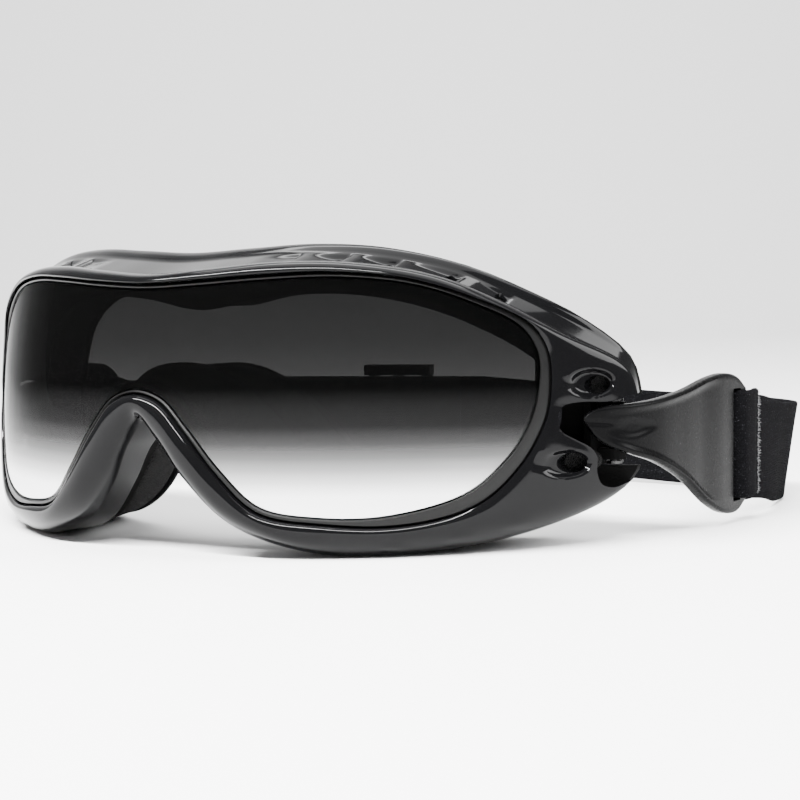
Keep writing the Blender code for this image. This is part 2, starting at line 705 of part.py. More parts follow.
def hinge_pin(side, finish, parent):
    """Plain pin with a flat head beyond each ear."""
    x, y = hinge_place()
    top = KNUCKLE_TOP + 2 * GAP + EAR_THICKNESS
    bottom = KNUCKLE_TOP - KNUCKLE_HEIGHT - 2 * GAP - EAR_THICKNESS
    profile = (
        (PIN_HEAD_RADIUS, bottom - PIN_HEAD_HEIGHT), (PIN_HEAD_RADIUS, bottom), (PIN_RADIUS, bottom),
        (PIN_RADIUS, top), (PIN_HEAD_RADIUS, top), (PIN_HEAD_RADIUS, top + PIN_HEAD_HEIGHT),
    )
    rings = [np.array([(px, py, z) for px, py in disc_plan((x, y), r, 16)]) for r, z in profile]
    points, faces = loft(rings, onward=False)
    name = "hinge_pin_" + ("left" if side > 0 else "right")
    return solid(name, mirrored(points, side), faces, finish, parent)


# ---------------------------------------------------------------- strap


def ribbon(path, thickness, end_runs):
    """Webbing on edge along centre points; its two ends are cut square to end_runs."""
    path = np.asarray(path, float)
    run = np.gradient(path[:, :2], axis=0)
    run[0], run[-1] = end_runs
    run /= np.linalg.norm(run, axis=1)[:, None]
    rings = []
    for (x, y, z), (along_x, along_y) in zip(path, run):
        half, rise = thickness / 2, STRAP_WIDTH / 2
        corners = ((half, rise), (-half, rise), (-half, -rise), (half, -rise))
        rings.append(np.array([(x + n * along_y, y - n * along_x, z + h) for n, h in corners]))
    return loft(rings, onward=False)


def loop_leg_path(arm, length, leg):
    """Centre line of one leg of the loop, from the turn inside the slot back along the arm."""
    place, run, normal = arm.end_frame()
    middle = place - normal * ARM_THICKNESS / 2
    bar = SLOT_WIDTH / 2
    front = bar - GAP - STRAP_THICKNESS / 2
    beside = ARM_THICKNESS / 2 + GAP + STRAP_THICKNESS / 2
    behind = bar + SLOT_BAR_WIDTH
    stations = (
        (front, 0.0), (front - 0.05, beside - 1.2), (front + 0.3, beside - 0.1), (bar + 0.3, beside + 0.05),
        (behind + 0.6, beside), (behind + 3.4, LEG_OFFSET + 0.9), (behind + 5.6, LEG_OFFSET), (length, LEG_OFFSET),
    )
    return [middle + a * run + leg * b * normal for a, b in stations]


def strap_joint(arm):
    """Where the loop meets the strap: the middle between the legs, their direction, and the way from the hinge."""
    place, run, normal = arm.end_frame()
    meeting = place - normal * ARM_THICKNESS / 2 + run * LOOP_LENGTH
    radial = meeting - np.array(hinge_place())
    return meeting, run, radial / np.linalg.norm(radial)


def strap_loop(arm, side, outer_length, finish, parent):
    """Loop round the slot bar: both legs run back from the turn inside the slot."""
    _, _, radial = strap_joint(arm)
    outer = loop_leg_path(arm, outer_length, 1)
    inner = loop_leg_path(arm, LOOP_LENGTH, -1)
    path = [(x, y, STRAP_AT_SLOT_Z) for x, y in [*reversed(outer[1:]), *inner]]
    x, y = hinge_place()
    pivot = (side * x, y, KNUCKLE_TOP - KNUCKLE_HEIGHT / 2)
    points, faces = ribbon(path, STRAP_THICKNESS, (-radial, radial))
    name = "strap_loop_" + ("left" if side > 0 else "right")
    return solid(name, mirrored(points, side), faces, finish, parent, pivot)


class StrapLine:
    """Line midway between the strap's two layers, from the left loop round the back to the right loop."""

    def __init__(self, arm):
        meeting, run, radial = strap_joint(arm)
        begin = meeting + run * JOINT_GAP
        lead = meeting + run * (JOINT_GAP + 7.0)
        wider = (FRAME_WIDTH - DRAWN_WIDTH) / 2
        deeper = arm.shift[1]
        path = [(x + math.copysign(wider, x) * min(1, abs(x) / 60), y + deeper, z) for x, y, z in STRAP_PATH]
        centre, after = np.array(path[SLIDER_POINT]), np.array(path[SLIDER_POINT + 1])
        run_here = (after - np.array(path[SLIDER_POINT - 1]))[:2]
        self.slider_run = np.array([*(run_here / np.linalg.norm(run_here)), 0.0])
        self.slider_centre = centre
        reach = SLIDER_LENGTH / 2 + SLIDER_TRAVEL + 1
        straight = [centre + self.slider_run * d for d in (-reach - 6, -reach, reach, reach + 6)]
        start = [(*begin, STRAP_AT_SLOT_Z), (*lead, STRAP_AT_SLOT_Z - 0.4)]
        finish = [(-x, y, z) for x, y, z in reversed(start)]
        before = [np.array(start[0]) * 2 - start[1], *start, *path[:SLIDER_POINT], *straight[:3]]
        beyond = [*straight[1:], *path[SLIDER_POINT + 1:], *finish, np.array(finish[1]) * 2 - finish[0]]
        first, second = catmull(before, 4), catmull(beyond, 4)
        self.points = np.vstack([first, second])
        self.straight_from = len(first) - 1
        self.ends = (radial, np.array([radial[0], -radial[1]]))
        run = np.gradient(self.points[:, :2], axis=0)
        run /= np.linalg.norm(run, axis=1)[:, None]
        self.normal = np.column_stack([run[:, 1], -run[:, 0], np.zeros(len(run))])

    def layer(self, stations, first=0):
        """A layer whose offset from the line passes through the given values at the given points."""
        index = np.arange(first, len(self.points))
        offset = np.interp(index, *zip(*stations))
        return self.points[first:] + self.normal[first:] * offset[:, None]


def strap(line, finish, parent):
    """Long run of webbing from the left arm round the back; the outer of the two layers at the right."""
    last = len(line.points) - 1
    near, far = line.straight_from, line.straight_from + 1
    offsets = ((0, -LEG_OFFSET), (6, -LEG_OFFSET), (near - 4, SLIDER_OFFSET), (far + 4, SLIDER_OFFSET),
               (far + 12, LEG_OFFSET), (last, LEG_OFFSET))
    points, faces = ribbon(line.layer(offsets), STRAP_THICKNESS, line.ends)
    return solid("strap", points, faces, finish, parent)


def strap_return(line, finish, parent):
    """Inner layer that comes back from the right arm and ends just through the slider."""
    last = len(line.points) - 1
    near, far = line.straight_from, line.straight_from + 1
    offsets = ((near, -SLIDER_OFFSET), (far + 4, -SLIDER_OFFSET), (far + 12, -LEG_OFFSET), (last, -LEG_OFFSET))
    path = line.layer(offsets, near)
    points, faces = ribbon(path, STRAP_THICKNESS, (line.slider_run[:2], line.ends[1]))
    return solid("strap_return", points, faces, finish, parent)


def strap_slider(line, finish, parent):
    """Two rails, a centre bar between the layers and two bars over the outer one."""
    centre, run = line.slider_centre, line.slider_run
    normal = np.array([run[1], -run[0], 0.0])
    clear = STRAP_WIDTH / 2 + STRAP_PLAY
    outside = SLIDER_OFFSET + STRAP_THICKNESS / 2 + GAP
    end = SLIDER_LENGTH / 2

    def block(name, low, high):
        rings = []
        for s in (low[0], high[0]):
            corners = ((low[1], low[2]), (high[1], low[2]), (high[1], high[2]), (low[1], high[2]))
            rings.append(np.array([centre + s * run + n * normal + (0, 0, z) for n, z in corners]))
        return name, *loft(rings, onward=False)

    rails = [
        block("slider_rail_top", (-end, -outside, clear), (end, outside + 1.2, clear + SLIDER_RAIL)),
        block("slider_rail_bottom", (-end, -outside, -clear - SLIDER_RAIL), (end, outside + 1.2, -clear)),
    ]
    grip = clear + 0.8 * SLIDER_RAIL
    bars = [
        block("slider_core", (-SLIDER_BAR / 2, -SLIDER_CORE, -grip), (SLIDER_BAR / 2, SLIDER_CORE, grip)),
        block("slider_bar_1", (-end + 0.3, outside, -grip), (-end + 0.3 + SLIDER_BAR, outside + 1.0, grip)),
        block("slider_bar_2", (end - 0.3 - SLIDER_BAR, outside, -grip), (end - 0.3, outside + 1.0, grip)),
    ]
    name, points, faces = rails[0]
    made = solid("strap_slider", points, faces, finish, parent, tuple(centre))
    combine(made, [helper(n, p, f, parent) for n, p, f in [*bars, rails[1]]], "UNION")
    return made


# ---------------------------------------------------------------- assembly


def clear_scene():
    for old in list(bpy.data.objects):
        bpy.data.objects.remove(old, do_unlink=True)


def stand_on_origin(root, pieces):
    """Moves the root so that the assembled goggles stand on Z = 0, centred front to back."""
    bpy.context.view_layer.update()
    graph = bpy.context.evaluated_depsgraph_get()
    low, high = Vector((1e9,) * 3), Vector((-1e9,) * 3)
    for piece in pieces:
        seen = piece.evaluated_get(graph)
        mesh = seen.to_mesh()
        for vertex in mesh.vertices:
            place = seen.matrix_world @ vertex.co
            low = Vector(map(min, low, place))
            high = Vector(map(max, high, place))
        seen.to_mesh_clear()
    root.location = (0.0, -(low.y + high.y) / 2, -low.z)


def main():
    clear_scene()
    root = bpy.data.objects.new("goggles", None)
    bpy.context.scene.collection.objects.link(root)

    gloss = material("gloss_black_plastic", (0.012, 0.012, 0.013), 0.08)
    smoke = material("smoke_lens", (0.02, 0.02, 0.022), 0.03, alpha=0.5)
    matt = material("matte_black_plastic", (0.02, 0.02, 0.02), 0.6)
    rubber = material("black_rubber", (0.01, 0.01, 0.01), 0.45)
    satin = material("satin_black_plastic", (0.03, 0.03, 0.032), 0.32)
    foam = material("black_foam", (0.02, 0.02, 0.02), 0.95)
    fleece = material("black_fleece", (0.025, 0.025, 0.025), 1.0)
    steel = material("steel", (0.5, 0.5, 0.5), 0.3, metallic=1.0)
    webbing = material("black_webbing", (0.015, 0.015, 0.015), 0.9)

    lines = Outlines()
    arm = ArmLine()
    line = StrapLine(arm)
    pieces = [
        front_frame(lines, gloss, root),
        lens(lines, smoke, root),
        lens_gasket(lines, rubber, root),
        foam_carrier(lines, matt, root),
        foam_pad(lines, foam, root),
        face_lining(lines, fleece, root),
        strap(line, webbing, root),
        strap_return(line, webbing, root),
        strap_slider(line, satin, root),
        strap_loop(arm, 1, LOOP_LENGTH - 2.2, webbing, root),
        strap_loop(arm, -1, LOOP_LENGTH, webbing, root),
    ]
    for side in (1, -1):
        pieces.append(outrigger(arm, side, satin, root))
        pieces.append(hinge_pin(side, steel, root))
        pieces.append(brow_screen(lines, side, foam, root))
        pieces += [temple_screen(which, side, foam, root) for which in TEMPLE_VENTS]
    stand_on_origin(root, pieces)


main()
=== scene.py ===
"""Looks of a pair of motorcycle goggles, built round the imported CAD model.

Pieces are drawn in millimetres from the front of the lens on the nose line: +X is the wearer's left, +Y runs
back to the face and +Z is up. Drawing.place() carries them into the row frame, in metres.
"""

import logging
import math
from collections.abc import Callable, Sequence
from dataclasses import dataclass, field
from enum import Enum

import bmesh
import bpy
import numpy as np
from mathutils import Matrix, Vector


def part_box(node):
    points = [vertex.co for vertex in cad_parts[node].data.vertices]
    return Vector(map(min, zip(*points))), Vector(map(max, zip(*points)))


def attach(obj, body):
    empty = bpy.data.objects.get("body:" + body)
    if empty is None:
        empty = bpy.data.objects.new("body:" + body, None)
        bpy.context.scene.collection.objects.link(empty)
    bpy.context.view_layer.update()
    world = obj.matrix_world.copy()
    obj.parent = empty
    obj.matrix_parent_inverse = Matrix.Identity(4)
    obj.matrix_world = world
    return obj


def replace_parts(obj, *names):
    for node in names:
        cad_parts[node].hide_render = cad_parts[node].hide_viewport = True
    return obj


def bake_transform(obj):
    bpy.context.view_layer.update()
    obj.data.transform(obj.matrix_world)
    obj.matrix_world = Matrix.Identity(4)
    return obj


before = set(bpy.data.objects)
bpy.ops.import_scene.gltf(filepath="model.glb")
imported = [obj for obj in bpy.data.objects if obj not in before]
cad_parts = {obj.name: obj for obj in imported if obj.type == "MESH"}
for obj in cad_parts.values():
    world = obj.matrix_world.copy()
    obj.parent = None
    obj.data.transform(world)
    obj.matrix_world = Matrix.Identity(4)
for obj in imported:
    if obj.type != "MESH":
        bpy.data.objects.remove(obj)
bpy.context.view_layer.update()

LOG = logging.getLogger("goggles")
MM = 0.001
SHARP = 35.0
SOFT_SHARP = 60.0
Points = np.ndarray
Faces = list[tuple[int, ...]]
Table = tuple[tuple[float, ...], ...]
Piece = bpy.types.Object
Socket = bpy.types.NodeSocket
NodeTree = bpy.types.NodeTree


class Side(Enum):
    """Side of the wearer's head, as the sign of X."""

    LEFT = 1
    RIGHT = -1

    @property
    def word(self) -> str:
        """Name of the side as it stands in piece names."""
        return self.name.lower()

    @property
    def body(self) -> str:
        """CAD body of the strap arm on this side."""
        return f"{self.word}_arm"


# ---------------------------------------------------------------- curves and rings


def catmull(points: Sequence, steps: Sequence[int] | int) -> Points:
    """Smooth curve from the second point to the last but one.

    Args:
        points: control points, with one extra at either end.
        steps: samples for each stretch, or one number for all of them.

    Returns:
        The sampled curve, its last point included.
    """
    points = np.asarray(points, float)
    chords = np.linalg.norm(np.diff(points[:, :2], axis=0), axis=1)
    knots = np.concatenate([[0], np.cumsum(np.sqrt(chords))])
    counts = [steps] * (len(points) - 3) if isinstance(steps, int) else list(steps)
    curve = []
    for i, count in enumerate(counts, start=1):
        p0, p1, p2, p3 = points[i - 1:i + 3]
        t0, t1, t2, t3 = knots[i - 1:i + 3]
        for step in range(count):
            t = t1 + (t2 - t1) * step / count
            a1 = ((t1 - t) * p0 + (t - t0) * p1) / (t1 - t0)
            a2 = ((t2 - t) * p1 + (t - t1) * p2) / (t2 - t1)
            a3 = ((t3 - t) * p2 + (t - t2) * p3) / (t3 - t2)
            b1 = ((t2 - t) * a1 + (t - t0) * a2) / (t2 - t0)
            b2 = ((t3 - t) * a2 + (t - t1) * a3) / (t3 - t1)
            curve.append(((t2 - t) * b1 + (t - t1) * b2) / (t2 - t1))
    curve.append(points[-2])
    return np.array(curve)


def through(points: Sequence, steps: int) -> Points:
    """Smooth curve through every point, run straight on at both ends."""
    points = np.asarray(points, float)
    return catmull([2 * points[0] - points[1], *points, 2 * points[-1] - points[-2]], steps)


def headings(path: Points) -> Points:
    """Unit directions along a path, as seen from above."""
    run = np.gradient(path[:, :2], axis=0)
    return run / np.linalg.norm(run, axis=1)[:, None]


def lengths_along(path: Points) -> Points:
    """Length along a path up to each of its points."""
    return np.concatenate([[0], np.cumsum(np.linalg.norm(np.diff(path, axis=0), axis=1))])


def full_turn(count: int) -> Points:
    """Even angles round a circle."""
    return np.linspace(0, 2 * math.pi, count, endpoint=False)


def squared_circle(count: int, roundness: float) -> tuple[Points, Points]:
    """Cosines and sines round a shape from a circle, at roundness 1, to a square, at 0."""
    turn = full_turn(count)
    return tuple(np.sign(wave) * np.abs(wave) ** roundness for wave in (np.cos(turn), np.sin(turn)))


def smoothstep(value: Points | float, low: float, high: float) -> Points:
    """Smooth rise from 0 at low to 1 at high."""
    share = np.clip((np.asarray(value, float) - low) / (high - low), 0, 1)
    return share * share * (3 - 2 * share)


def mix(first: Points, second: Points, share: Points | float) -> Points:
    """Blend of two rings, with one share or a share for each point."""
    share = np.reshape(share, (-1, 1))
    return first * (1 - share) + second * share


def toward(ring: Points, other: Points, distance: Points | float) -> Points:
    """A ring moved a distance along the straight lines to another ring."""
    return mix(ring, other, distance / np.linalg.norm(other - ring, axis=1))


def grow(flat: Points, distance: Points | float) -> Points:
    """A flat closed outline moved outward, or inward where the distance is negative."""
    tangent = np.roll(flat, -1, axis=0) - np.roll(flat, 1, axis=0)
    tangent /= np.linalg.norm(tangent, axis=1)[:, None]
    return flat + np.column_stack([-tangent[:, 1], tangent[:, 0]]) * np.reshape(distance, (-1, 1))


def widen(ring: Points, distance: Points | float) -> Points:
    """A ring in space moved outward as seen from the front, with its depth kept."""
    moved = grow(ring[:, [0, 2]], distance)
    return np.column_stack([moved[:, 0], ring[:, 1], moved[:, 1]])


def deepen(ring: Points, distance: Points | float) -> Points:
    """A ring moved back along Y."""
    return ring + np.outer(np.broadcast_to(distance, len(ring)), (0, 1, 0))


def polygon_distance(places: Points, polygon: Points) -> Points:
    """Signed distance of flat places from a closed polygon, negative inside."""
    tiny = 1e-12
    nearest = np.full(len(places), np.inf)
    inside = np.zeros(len(places), bool)
    for a, b in zip(polygon, np.roll(polygon, -1, axis=0)):
        edge = b - a
        share = np.clip((places - a) @ edge / (edge @ edge), 0, 1)
        nearest = np.minimum(nearest, np.linalg.norm(places - a - share[:, None] * edge, axis=1))
        crosses = (a[1] > places[:, 1]) != (b[1] > places[:, 1])
        rise = edge[1] if abs(edge[1]) > tiny else tiny
        inside ^= crosses & (places[:, 0] < a[0] + (places[:, 1] - a[1]) * edge[0] / rise)
    return np.where(inside, -nearest, nearest)


# ---------------------------------------------------------------- meshes


@dataclass
class Drawing:
    """Where the drawing's origin lies in the row frame, found from the left hinge pin."""

    pin_in_drawing: tuple[float, float, float] = (82.6, 60.6, -8.9)
    origin: Vector = field(init=False)

    def __post_init__(self) -> None:
        """Finds the origin."""
        low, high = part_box("hinge_pin_left")
        self.origin = (low + high) / 2 - Vector(self.pin_in_drawing) * MM

    def place(self, points: Points) -> Points:
        """Drawing millimetres as row-frame metres."""
        return np.asarray(points, float) * MM + np.array(self.origin)

    def vector(self, point: Sequence[float]) -> Vector:
        """One drawing point as a row-frame vector."""
        return Vector(self.place(np.array(point)))


def mirrored(points: Points, side: Side) -> Points:
    """Points drawn for the left side, on the side asked for."""
    return np.asarray(points, float) * (side.value, 1, 1)


def loft(rings: Sequence[Points], around: bool = True, onward: bool = True) -> tuple[Points, Faces]:
    """Skin over rings of equal length.

    Args:
        rings: the rings, in order.
        around: whether each ring closes on itself.
        onward: whether the last ring joins the first; otherwise both ends are capped.

    Returns:
        Points and faces.
    """
    count = len(rings[0])
    faces: Faces = []
    for i in range(len(rings) if onward else len(rings) - 1):
        a, b = i * count, (i + 1) % len(rings) * count
        for j in range(count if around else count - 1):
            k = (j + 1) % count
            faces.append((a + j, a + k, b + k, b + j))
    if around and not onward:
        faces.append(tuple(range(count)))
        faces.append(tuple(range((len(rings) - 1) * count, len(rings) * count)))
    if onward and not around:
        faces.append(tuple(i * count for i in range(len(rings))))
        faces.append(tuple(i * count + count - 1 for i in range(len(rings))))
    return np.vstack(rings), faces


def linked(name: str, data: bpy.types.ID) -> Piece:
    """New object in the scene over a mesh, a light or a camera."""
    made = bpy.data.objects.new(name, data)
    bpy.context.scene.collection.objects.link(made)
    return made


class Workshop:
    """Makes mesh objects from drawing points and finishes them."""

    def __init__(self, drawing: Drawing) -> None:
        """Keeps the drawing that places every piece."""
        self.drawing = drawing

    def solid(self, name: str, points: Points, faces: Faces, sharp: float = SHARP) -> Piece:
        """Closed mesh object with outward faces.

        Args:
            name: object name.
            points: drawing points.
            faces: vertex indices of each face.
            sharp: edges turning more than this many degrees stay sharp.

        Returns:
            The object, at the origin.
        """
        mesh = bpy.data.meshes.new(name)
        mesh.from_pydata(self.drawing.place(points).tolist(), [], faces)
        shape = bmesh.new()
        shape.from_mesh(mesh)
        bmesh.ops.recalc_face_normals(shape, faces=shape.faces)
        bmesh.ops.triangulate(shape, faces=[f for f in shape.faces if len(f.verts) > 4])
        shape.to_mesh(mesh)
        shape.free()
        made = linked(name, mesh)
        self.smooth(made, sharp)
        return made

    def smooth(self, made: Piece, sharp: float) -> None:
        """Smooth shading with edges beyond an angle kept sharp."""
        made.data.shade_smooth()
        made.data.set_sharp_from_angle(angle=math.radians(sharp))

    def settle(self, made: Piece, sharp: float = SHARP) -> Piece:
        """Turns an object with modifiers into a plain mesh under the same name."""
        graph = bpy.context.evaluated_depsgraph_get()
        mesh = bpy.data.meshes.new_from_object(made.evaluated_get(graph), depsgraph=graph)
        made.modifiers.clear()
        made.data = mesh
        self.smooth(made, sharp)
        return made

    def combine(self, made: Piece, others: Sequence[Piece], operation: str) -> None:
        """Boolean with each other object, which is then removed."""
        for other in others:
            step = made.modifiers.new(other.name, "BOOLEAN")
            step.operation = operation
            step.object = other
            step.solver = "EXACT"
        self.settle(made)
        for other in others:
            bpy.data.objects.remove(other, do_unlink=True)

    def prism(self, name: str, low: Points, high: Points) -> Piece:
        """Straight solid between two equal rings."""
        points, faces = loft([np.asarray(low, float), np.asarray(high, float)], onward=False)
        return self.solid(name, points, faces)


def paint(made: Piece, finish: "Finish") -> None:
    """Gives an object one finish."""
    made.data.materials.clear()
    made.data.materials.append(finish.material())


def dress(made: Piece, finish: "Finish") -> None:
    """Paints a piece."""
    paint(made, finish)


# ---------------------------------------------------------------- finishes


class Nodes:
    """Short way to make and join shader nodes."""

    def __init__(self, name: str) -> None:
        """Starts a material that holds a Principled shader and its output."""
        self.made = bpy.data.materials.new(name)
        self.made.use_nodes = True
        self.tree = self.made.node_tree
        self.shader = self.tree.nodes["Principled BSDF"]
        self.object_coords = self.add("TexCoord").outputs["Object"]

    def add(self, kind: str, **settings: object) -> bpy.types.Node:
        """Adds a shader node and sets its properties."""
        node = self.tree.nodes.new(f"ShaderNode{kind}")
        for key, value in settings.items():
            setattr(node, key, value)
        return node

    def link(self, start: Socket, end: Socket) -> None:
        """Joins two sockets."""
        self.tree.links.new(start, end)

    def set(self, **values: float | tuple) -> None:
        """Sets sockets of the Principled shader; an underscore stands for a space."""
        for key, value in values.items():
            self.shader.inputs[key.replace("_", " ")].default_value = value

    def noise(self, scale: float, detail: float) -> Socket:
        """Noise value at a scale per metre."""
        node = self.add("TexNoise")
        node.inputs["Scale"].default_value = scale
        node.inputs["Detail"].default_value = detail
        self.link(self.object_coords, node.inputs["Vector"])
        return node.outputs["Fac"]

    def ramp(self, value: Socket, stops: Sequence[tuple[float, tuple]]) -> Socket:
        """Colour ramp over a value."""
        node = self.add("ValToRGB")
        elements = node.color_ramp.elements
        while len(elements) < len(stops):
            elements.new(0.5)
        for element, (place, colour) in zip(elements, stops):
            element.position = place
            element.color = (*colour, 1.0)
        self.link(value, node.inputs["Fac"])
        return node.outputs["Color"]

    def spread(self, value: Socket, low: float, high: float) -> Socket:
        """A value of 0 to 1 carried to a range."""
        node = self.add("MapRange")
        node.inputs["To Min"].default_value = low
        node.inputs["To Max"].default_value = high
        self.link(value, node.inputs["Value"])
        return node.outputs["Result"]

    def math(self, operation: str, first: object, second: object = 0.0) -> Socket:
        """Maths node over sockets or numbers."""
        node = self.add("Math", operation=operation)
        for place, value in zip(node.inputs, (first, second)):
            if isinstance(value, Socket):
                self.link(value, place)
            else:
                place.default_value = value
        return node.outputs[0]

    def bump(self, height: Socket, depth_mm: float, strength: float = 1.0) -> None:
        """Adds a bump to the shader's normal."""
        node = self.add("Bump")
        node.inputs["Strength"].default_value = strength
        node.inputs["Distance"].default_value = depth_mm * MM
        self.link(height, node.inputs["Height"])
        before = self.shader.inputs["Normal"].links
        if before:
            self.link(before[0].from_socket, node.inputs["Normal"])
        self.link(node.outputs["Normal"], self.shader.inputs["Normal"])


def scaled(tone: Sequence[float], factor: float) -> tuple[float, ...]:
    """A tone made lighter or darker."""
    return tuple(factor * value for value in tone)


@dataclass(frozen=True)
class Finish:
    """A surface finish that builds its material once."""

    name: str

    def material(self) -> bpy.types.Material:
        """The material, made on first use."""
        return bpy.data.materials.get(self.name) or self.build(Nodes(self.name))

    def build(self, nodes: Nodes) -> bpy.types.Material:
        """Fills the material's nodes."""
        raise NotImplementedError


@dataclass(frozen=True)
class MouldedPlastic(Finish):
    """Black moulded plastic with a faint flow ripple, fine grain and handling marks in the gloss."""

    tone: tuple[float, float, float] = (0.0018, 0.0018, 0.002)
    gloss: tuple[float, float] = (0.05, 0.11)
    specular: float = 0.10
    ripple_mm: float = 0.03
    grain_mm: float = 0.0

    def build(self, nodes: Nodes) -> bpy.types.Material:
        """Fills the material's nodes."""
        tone = nodes.ramp(nodes.noise(55.0, 5.0), [(0.35, self.tone), (0.7, scaled(self.tone, 1.35))])
        nodes.link(tone, nodes.shader.inputs["Base Color"])
        scuffs = nodes.noise(420.0, 6.0)
        nodes.link(nodes.spread(scuffs, *self.gloss), nodes.shader.inputs["Roughness"])
        nodes.set(Specular_IOR_Level=self.specular)
        nodes.bump(nodes.noise(38.0, 1.0), self.ripple_mm)
        if self.grain_mm:
            nodes.bump(nodes.noise(3600.0, 2.0), self.grain_mm)
        return nodes.made


@dataclass(frozen=True)
class SmokeLens(Finish):
    """Smoke lens: black tint under the brow, running into painted white at the cheeks, which stands in for the
    bright backdrop seen through the clear lower lens.
    """

    low: float
    high: float
    # Base colour up the lens: the smoke tint at the top, painted white light at the bottom for the backdrop
    # seen through the lens.
    tint_and_painted_light: Table = (
        (0.0, 1.0), (0.09, 0.86), (0.15, 0.42), (0.20, 0.20), (0.25, 0.09), (0.31, 0.03), (0.38, 0.009),
        (0.46, 0.006), (0.54, 0.001), (1.0, 0.001),
    )
    cover: Table = (
        (0.0, 0.92), (0.25, 0.86), (0.42, 0.84), (0.6, 0.865), (1.0, 0.90),
    )

    def build(self, nodes: Nodes) -> bpy.types.Material:
        """Fills the material's nodes."""
        split = nodes.add("SeparateXYZ")
        nodes.link(nodes.object_coords, split.inputs["Vector"])
        height = nodes.add("MapRange")
        height.inputs["From Min"].default_value = self.low
        height.inputs["From Max"].default_value = self.high
        nodes.link(split.outputs["Z"], height.inputs["Value"])
        # The base colour ramp paints the light seen through the lower lens as white; the alpha ramp is
        # coverage.
        for stops, socket in ((self.tint_and_painted_light, "Base Color"), (self.cover, "Alpha")):
            shade = nodes.ramp(height.outputs["Result"], [(place, (value,) * 3) for place, value in stops])
            nodes.link(shade, nodes.shader.inputs[socket])
        nodes.set(Roughness=0.03, Specular_IOR_Level=0.006, IOR=1.5)
        nodes.bump(nodes.noise(22.0, 1.0), 0.02)
        return nodes.made


@dataclass(frozen=True)
class SoftFoam(Finish):
    """Open-cell foam with pores."""

    tone: tuple[float, float, float] = (0.0045, 0.0045, 0.0045)
    pore_scale: float = 1500.0
    pore_mm: float = 0.35

    def build(self, nodes: Nodes) -> bpy.types.Material:
        """Fills the material's nodes."""
        cells = nodes.add("TexVoronoi", feature="DISTANCE_TO_EDGE")
        cells.inputs["Scale"].default_value = self.pore_scale
        nodes.link(nodes.object_coords, cells.inputs["Vector"])
        edge = cells.outputs["Distance"]
        # Cell walls lighter and pore hollows darker: painted shade in the pores.
        tone = nodes.ramp(edge, [(0.0, scaled(self.tone, 1.6)), (0.25, scaled(self.tone, 0.35))])
        nodes.link(tone, nodes.shader.inputs["Base Color"])
        nodes.set(Roughness=0.95, Sheen_Weight=0.02, Sheen_Roughness=0.6, Specular_IOR_Level=0.08)
        nodes.bump(nodes.ramp(edge, [(0.0, (1.0,) * 3), (0.3, (0.0,) * 3)]), self.pore_mm)
        nodes.bump(nodes.noise(160.0, 3.0), 0.5, 0.6)
        return nodes.made


@dataclass(frozen=True)
class Fleece(Finish):
    """Brushed fabric with a short nap."""

    tone: tuple[float, float, float] = (0.004, 0.004, 0.0043)

    def build(self, nodes: Nodes) -> bpy.types.Material:
        """Fills the material's nodes."""
        nap = nodes.noise(2600.0, 6.0)
        tone = nodes.ramp(nap, [(0.35, self.tone), (0.75, scaled(self.tone, 2.4))])
        nodes.link(tone, nodes.shader.inputs["Base Color"])
        nodes.set(Roughness=1.0, Sheen_Weight=0.03, Sheen_Roughness=0.5, Specular_IOR_Level=0.05)
        nodes.bump(nap, 0.25)
        nodes.bump(nodes.noise(300.0, 4.0), 0.5, 0.5)
        return nodes.made


@dataclass(frozen=True)
class Webbing(Finish):
    """Woven elastic: lengthwise ribs crossed by fine picks, on the piece's own UV map in millimetres."""

    tone: tuple[float, float, float] = (0.0016, 0.0016, 0.0018)
    rib_mm: float = 0.85
    pick_mm: float = 0.55

    def build(self, nodes: Nodes) -> bpy.types.Material:
        """Fills the material's nodes."""
        place = nodes.add("UVMap", uv_map="UVMap").outputs["UV"]
        split = nodes.add("SeparateXYZ")
        nodes.link(place, split.inputs["Vector"])
        rib = nodes.math("SINE", nodes.math("MULTIPLY", split.outputs["Y"], 2 * math.pi / self.rib_mm))
        pick = nodes.math("MULTIPLY", split.outputs["X"], 2 * math.pi / self.pick_mm)
        shift = nodes.math("MULTIPLY", nodes.math("SIGN", rib), math.pi / 2)
        pick = nodes.math("SINE", nodes.math("ADD", pick, shift))
        ribs = nodes.math("MULTIPLY", nodes.math("ABSOLUTE", rib), 0.6)
        weave = nodes.math("ADD", ribs, nodes.math("MULTIPLY", pick, 0.3))
        nap = nodes.noise(3000.0, 5.0)
        height = nodes.math("ADD", weave, nodes.math("MULTIPLY", nap, 0.5))
        light, lint = scaled(self.tone, 2.5), scaled(self.tone, 18)
        shade = nodes.ramp(nap, [(0.3, self.tone), (0.62, light), (0.72, lint)])
        nodes.link(shade, nodes.shader.inputs["Base Color"])
        nodes.set(Roughness=0.95, Sheen_Weight=0.004, Sheen_Roughness=0.4, Specular_IOR_Level=0.01)
        nodes.bump(height, 0.12)
        return nodes.made


@dataclass(frozen=True)
class DrawnSteel(Finish):
    """Blackened wire steel."""

    def build(self, nodes: Nodes) -> bpy.types.Material:
        """Fills the material's nodes."""
        lines = nodes.noise(900.0, 4.0)
        tone = nodes.ramp(lines, [(0.2, (0.03,) * 3), (0.8, (0.06,) * 3)])
        nodes.link(tone, nodes.shader.inputs["Base Color"])
        nodes.link(nodes.spread(lines, 0.25, 0.45), nodes.shader.inputs["Roughness"])
        nodes.set(Metallic=1.0)
        return nodes.made


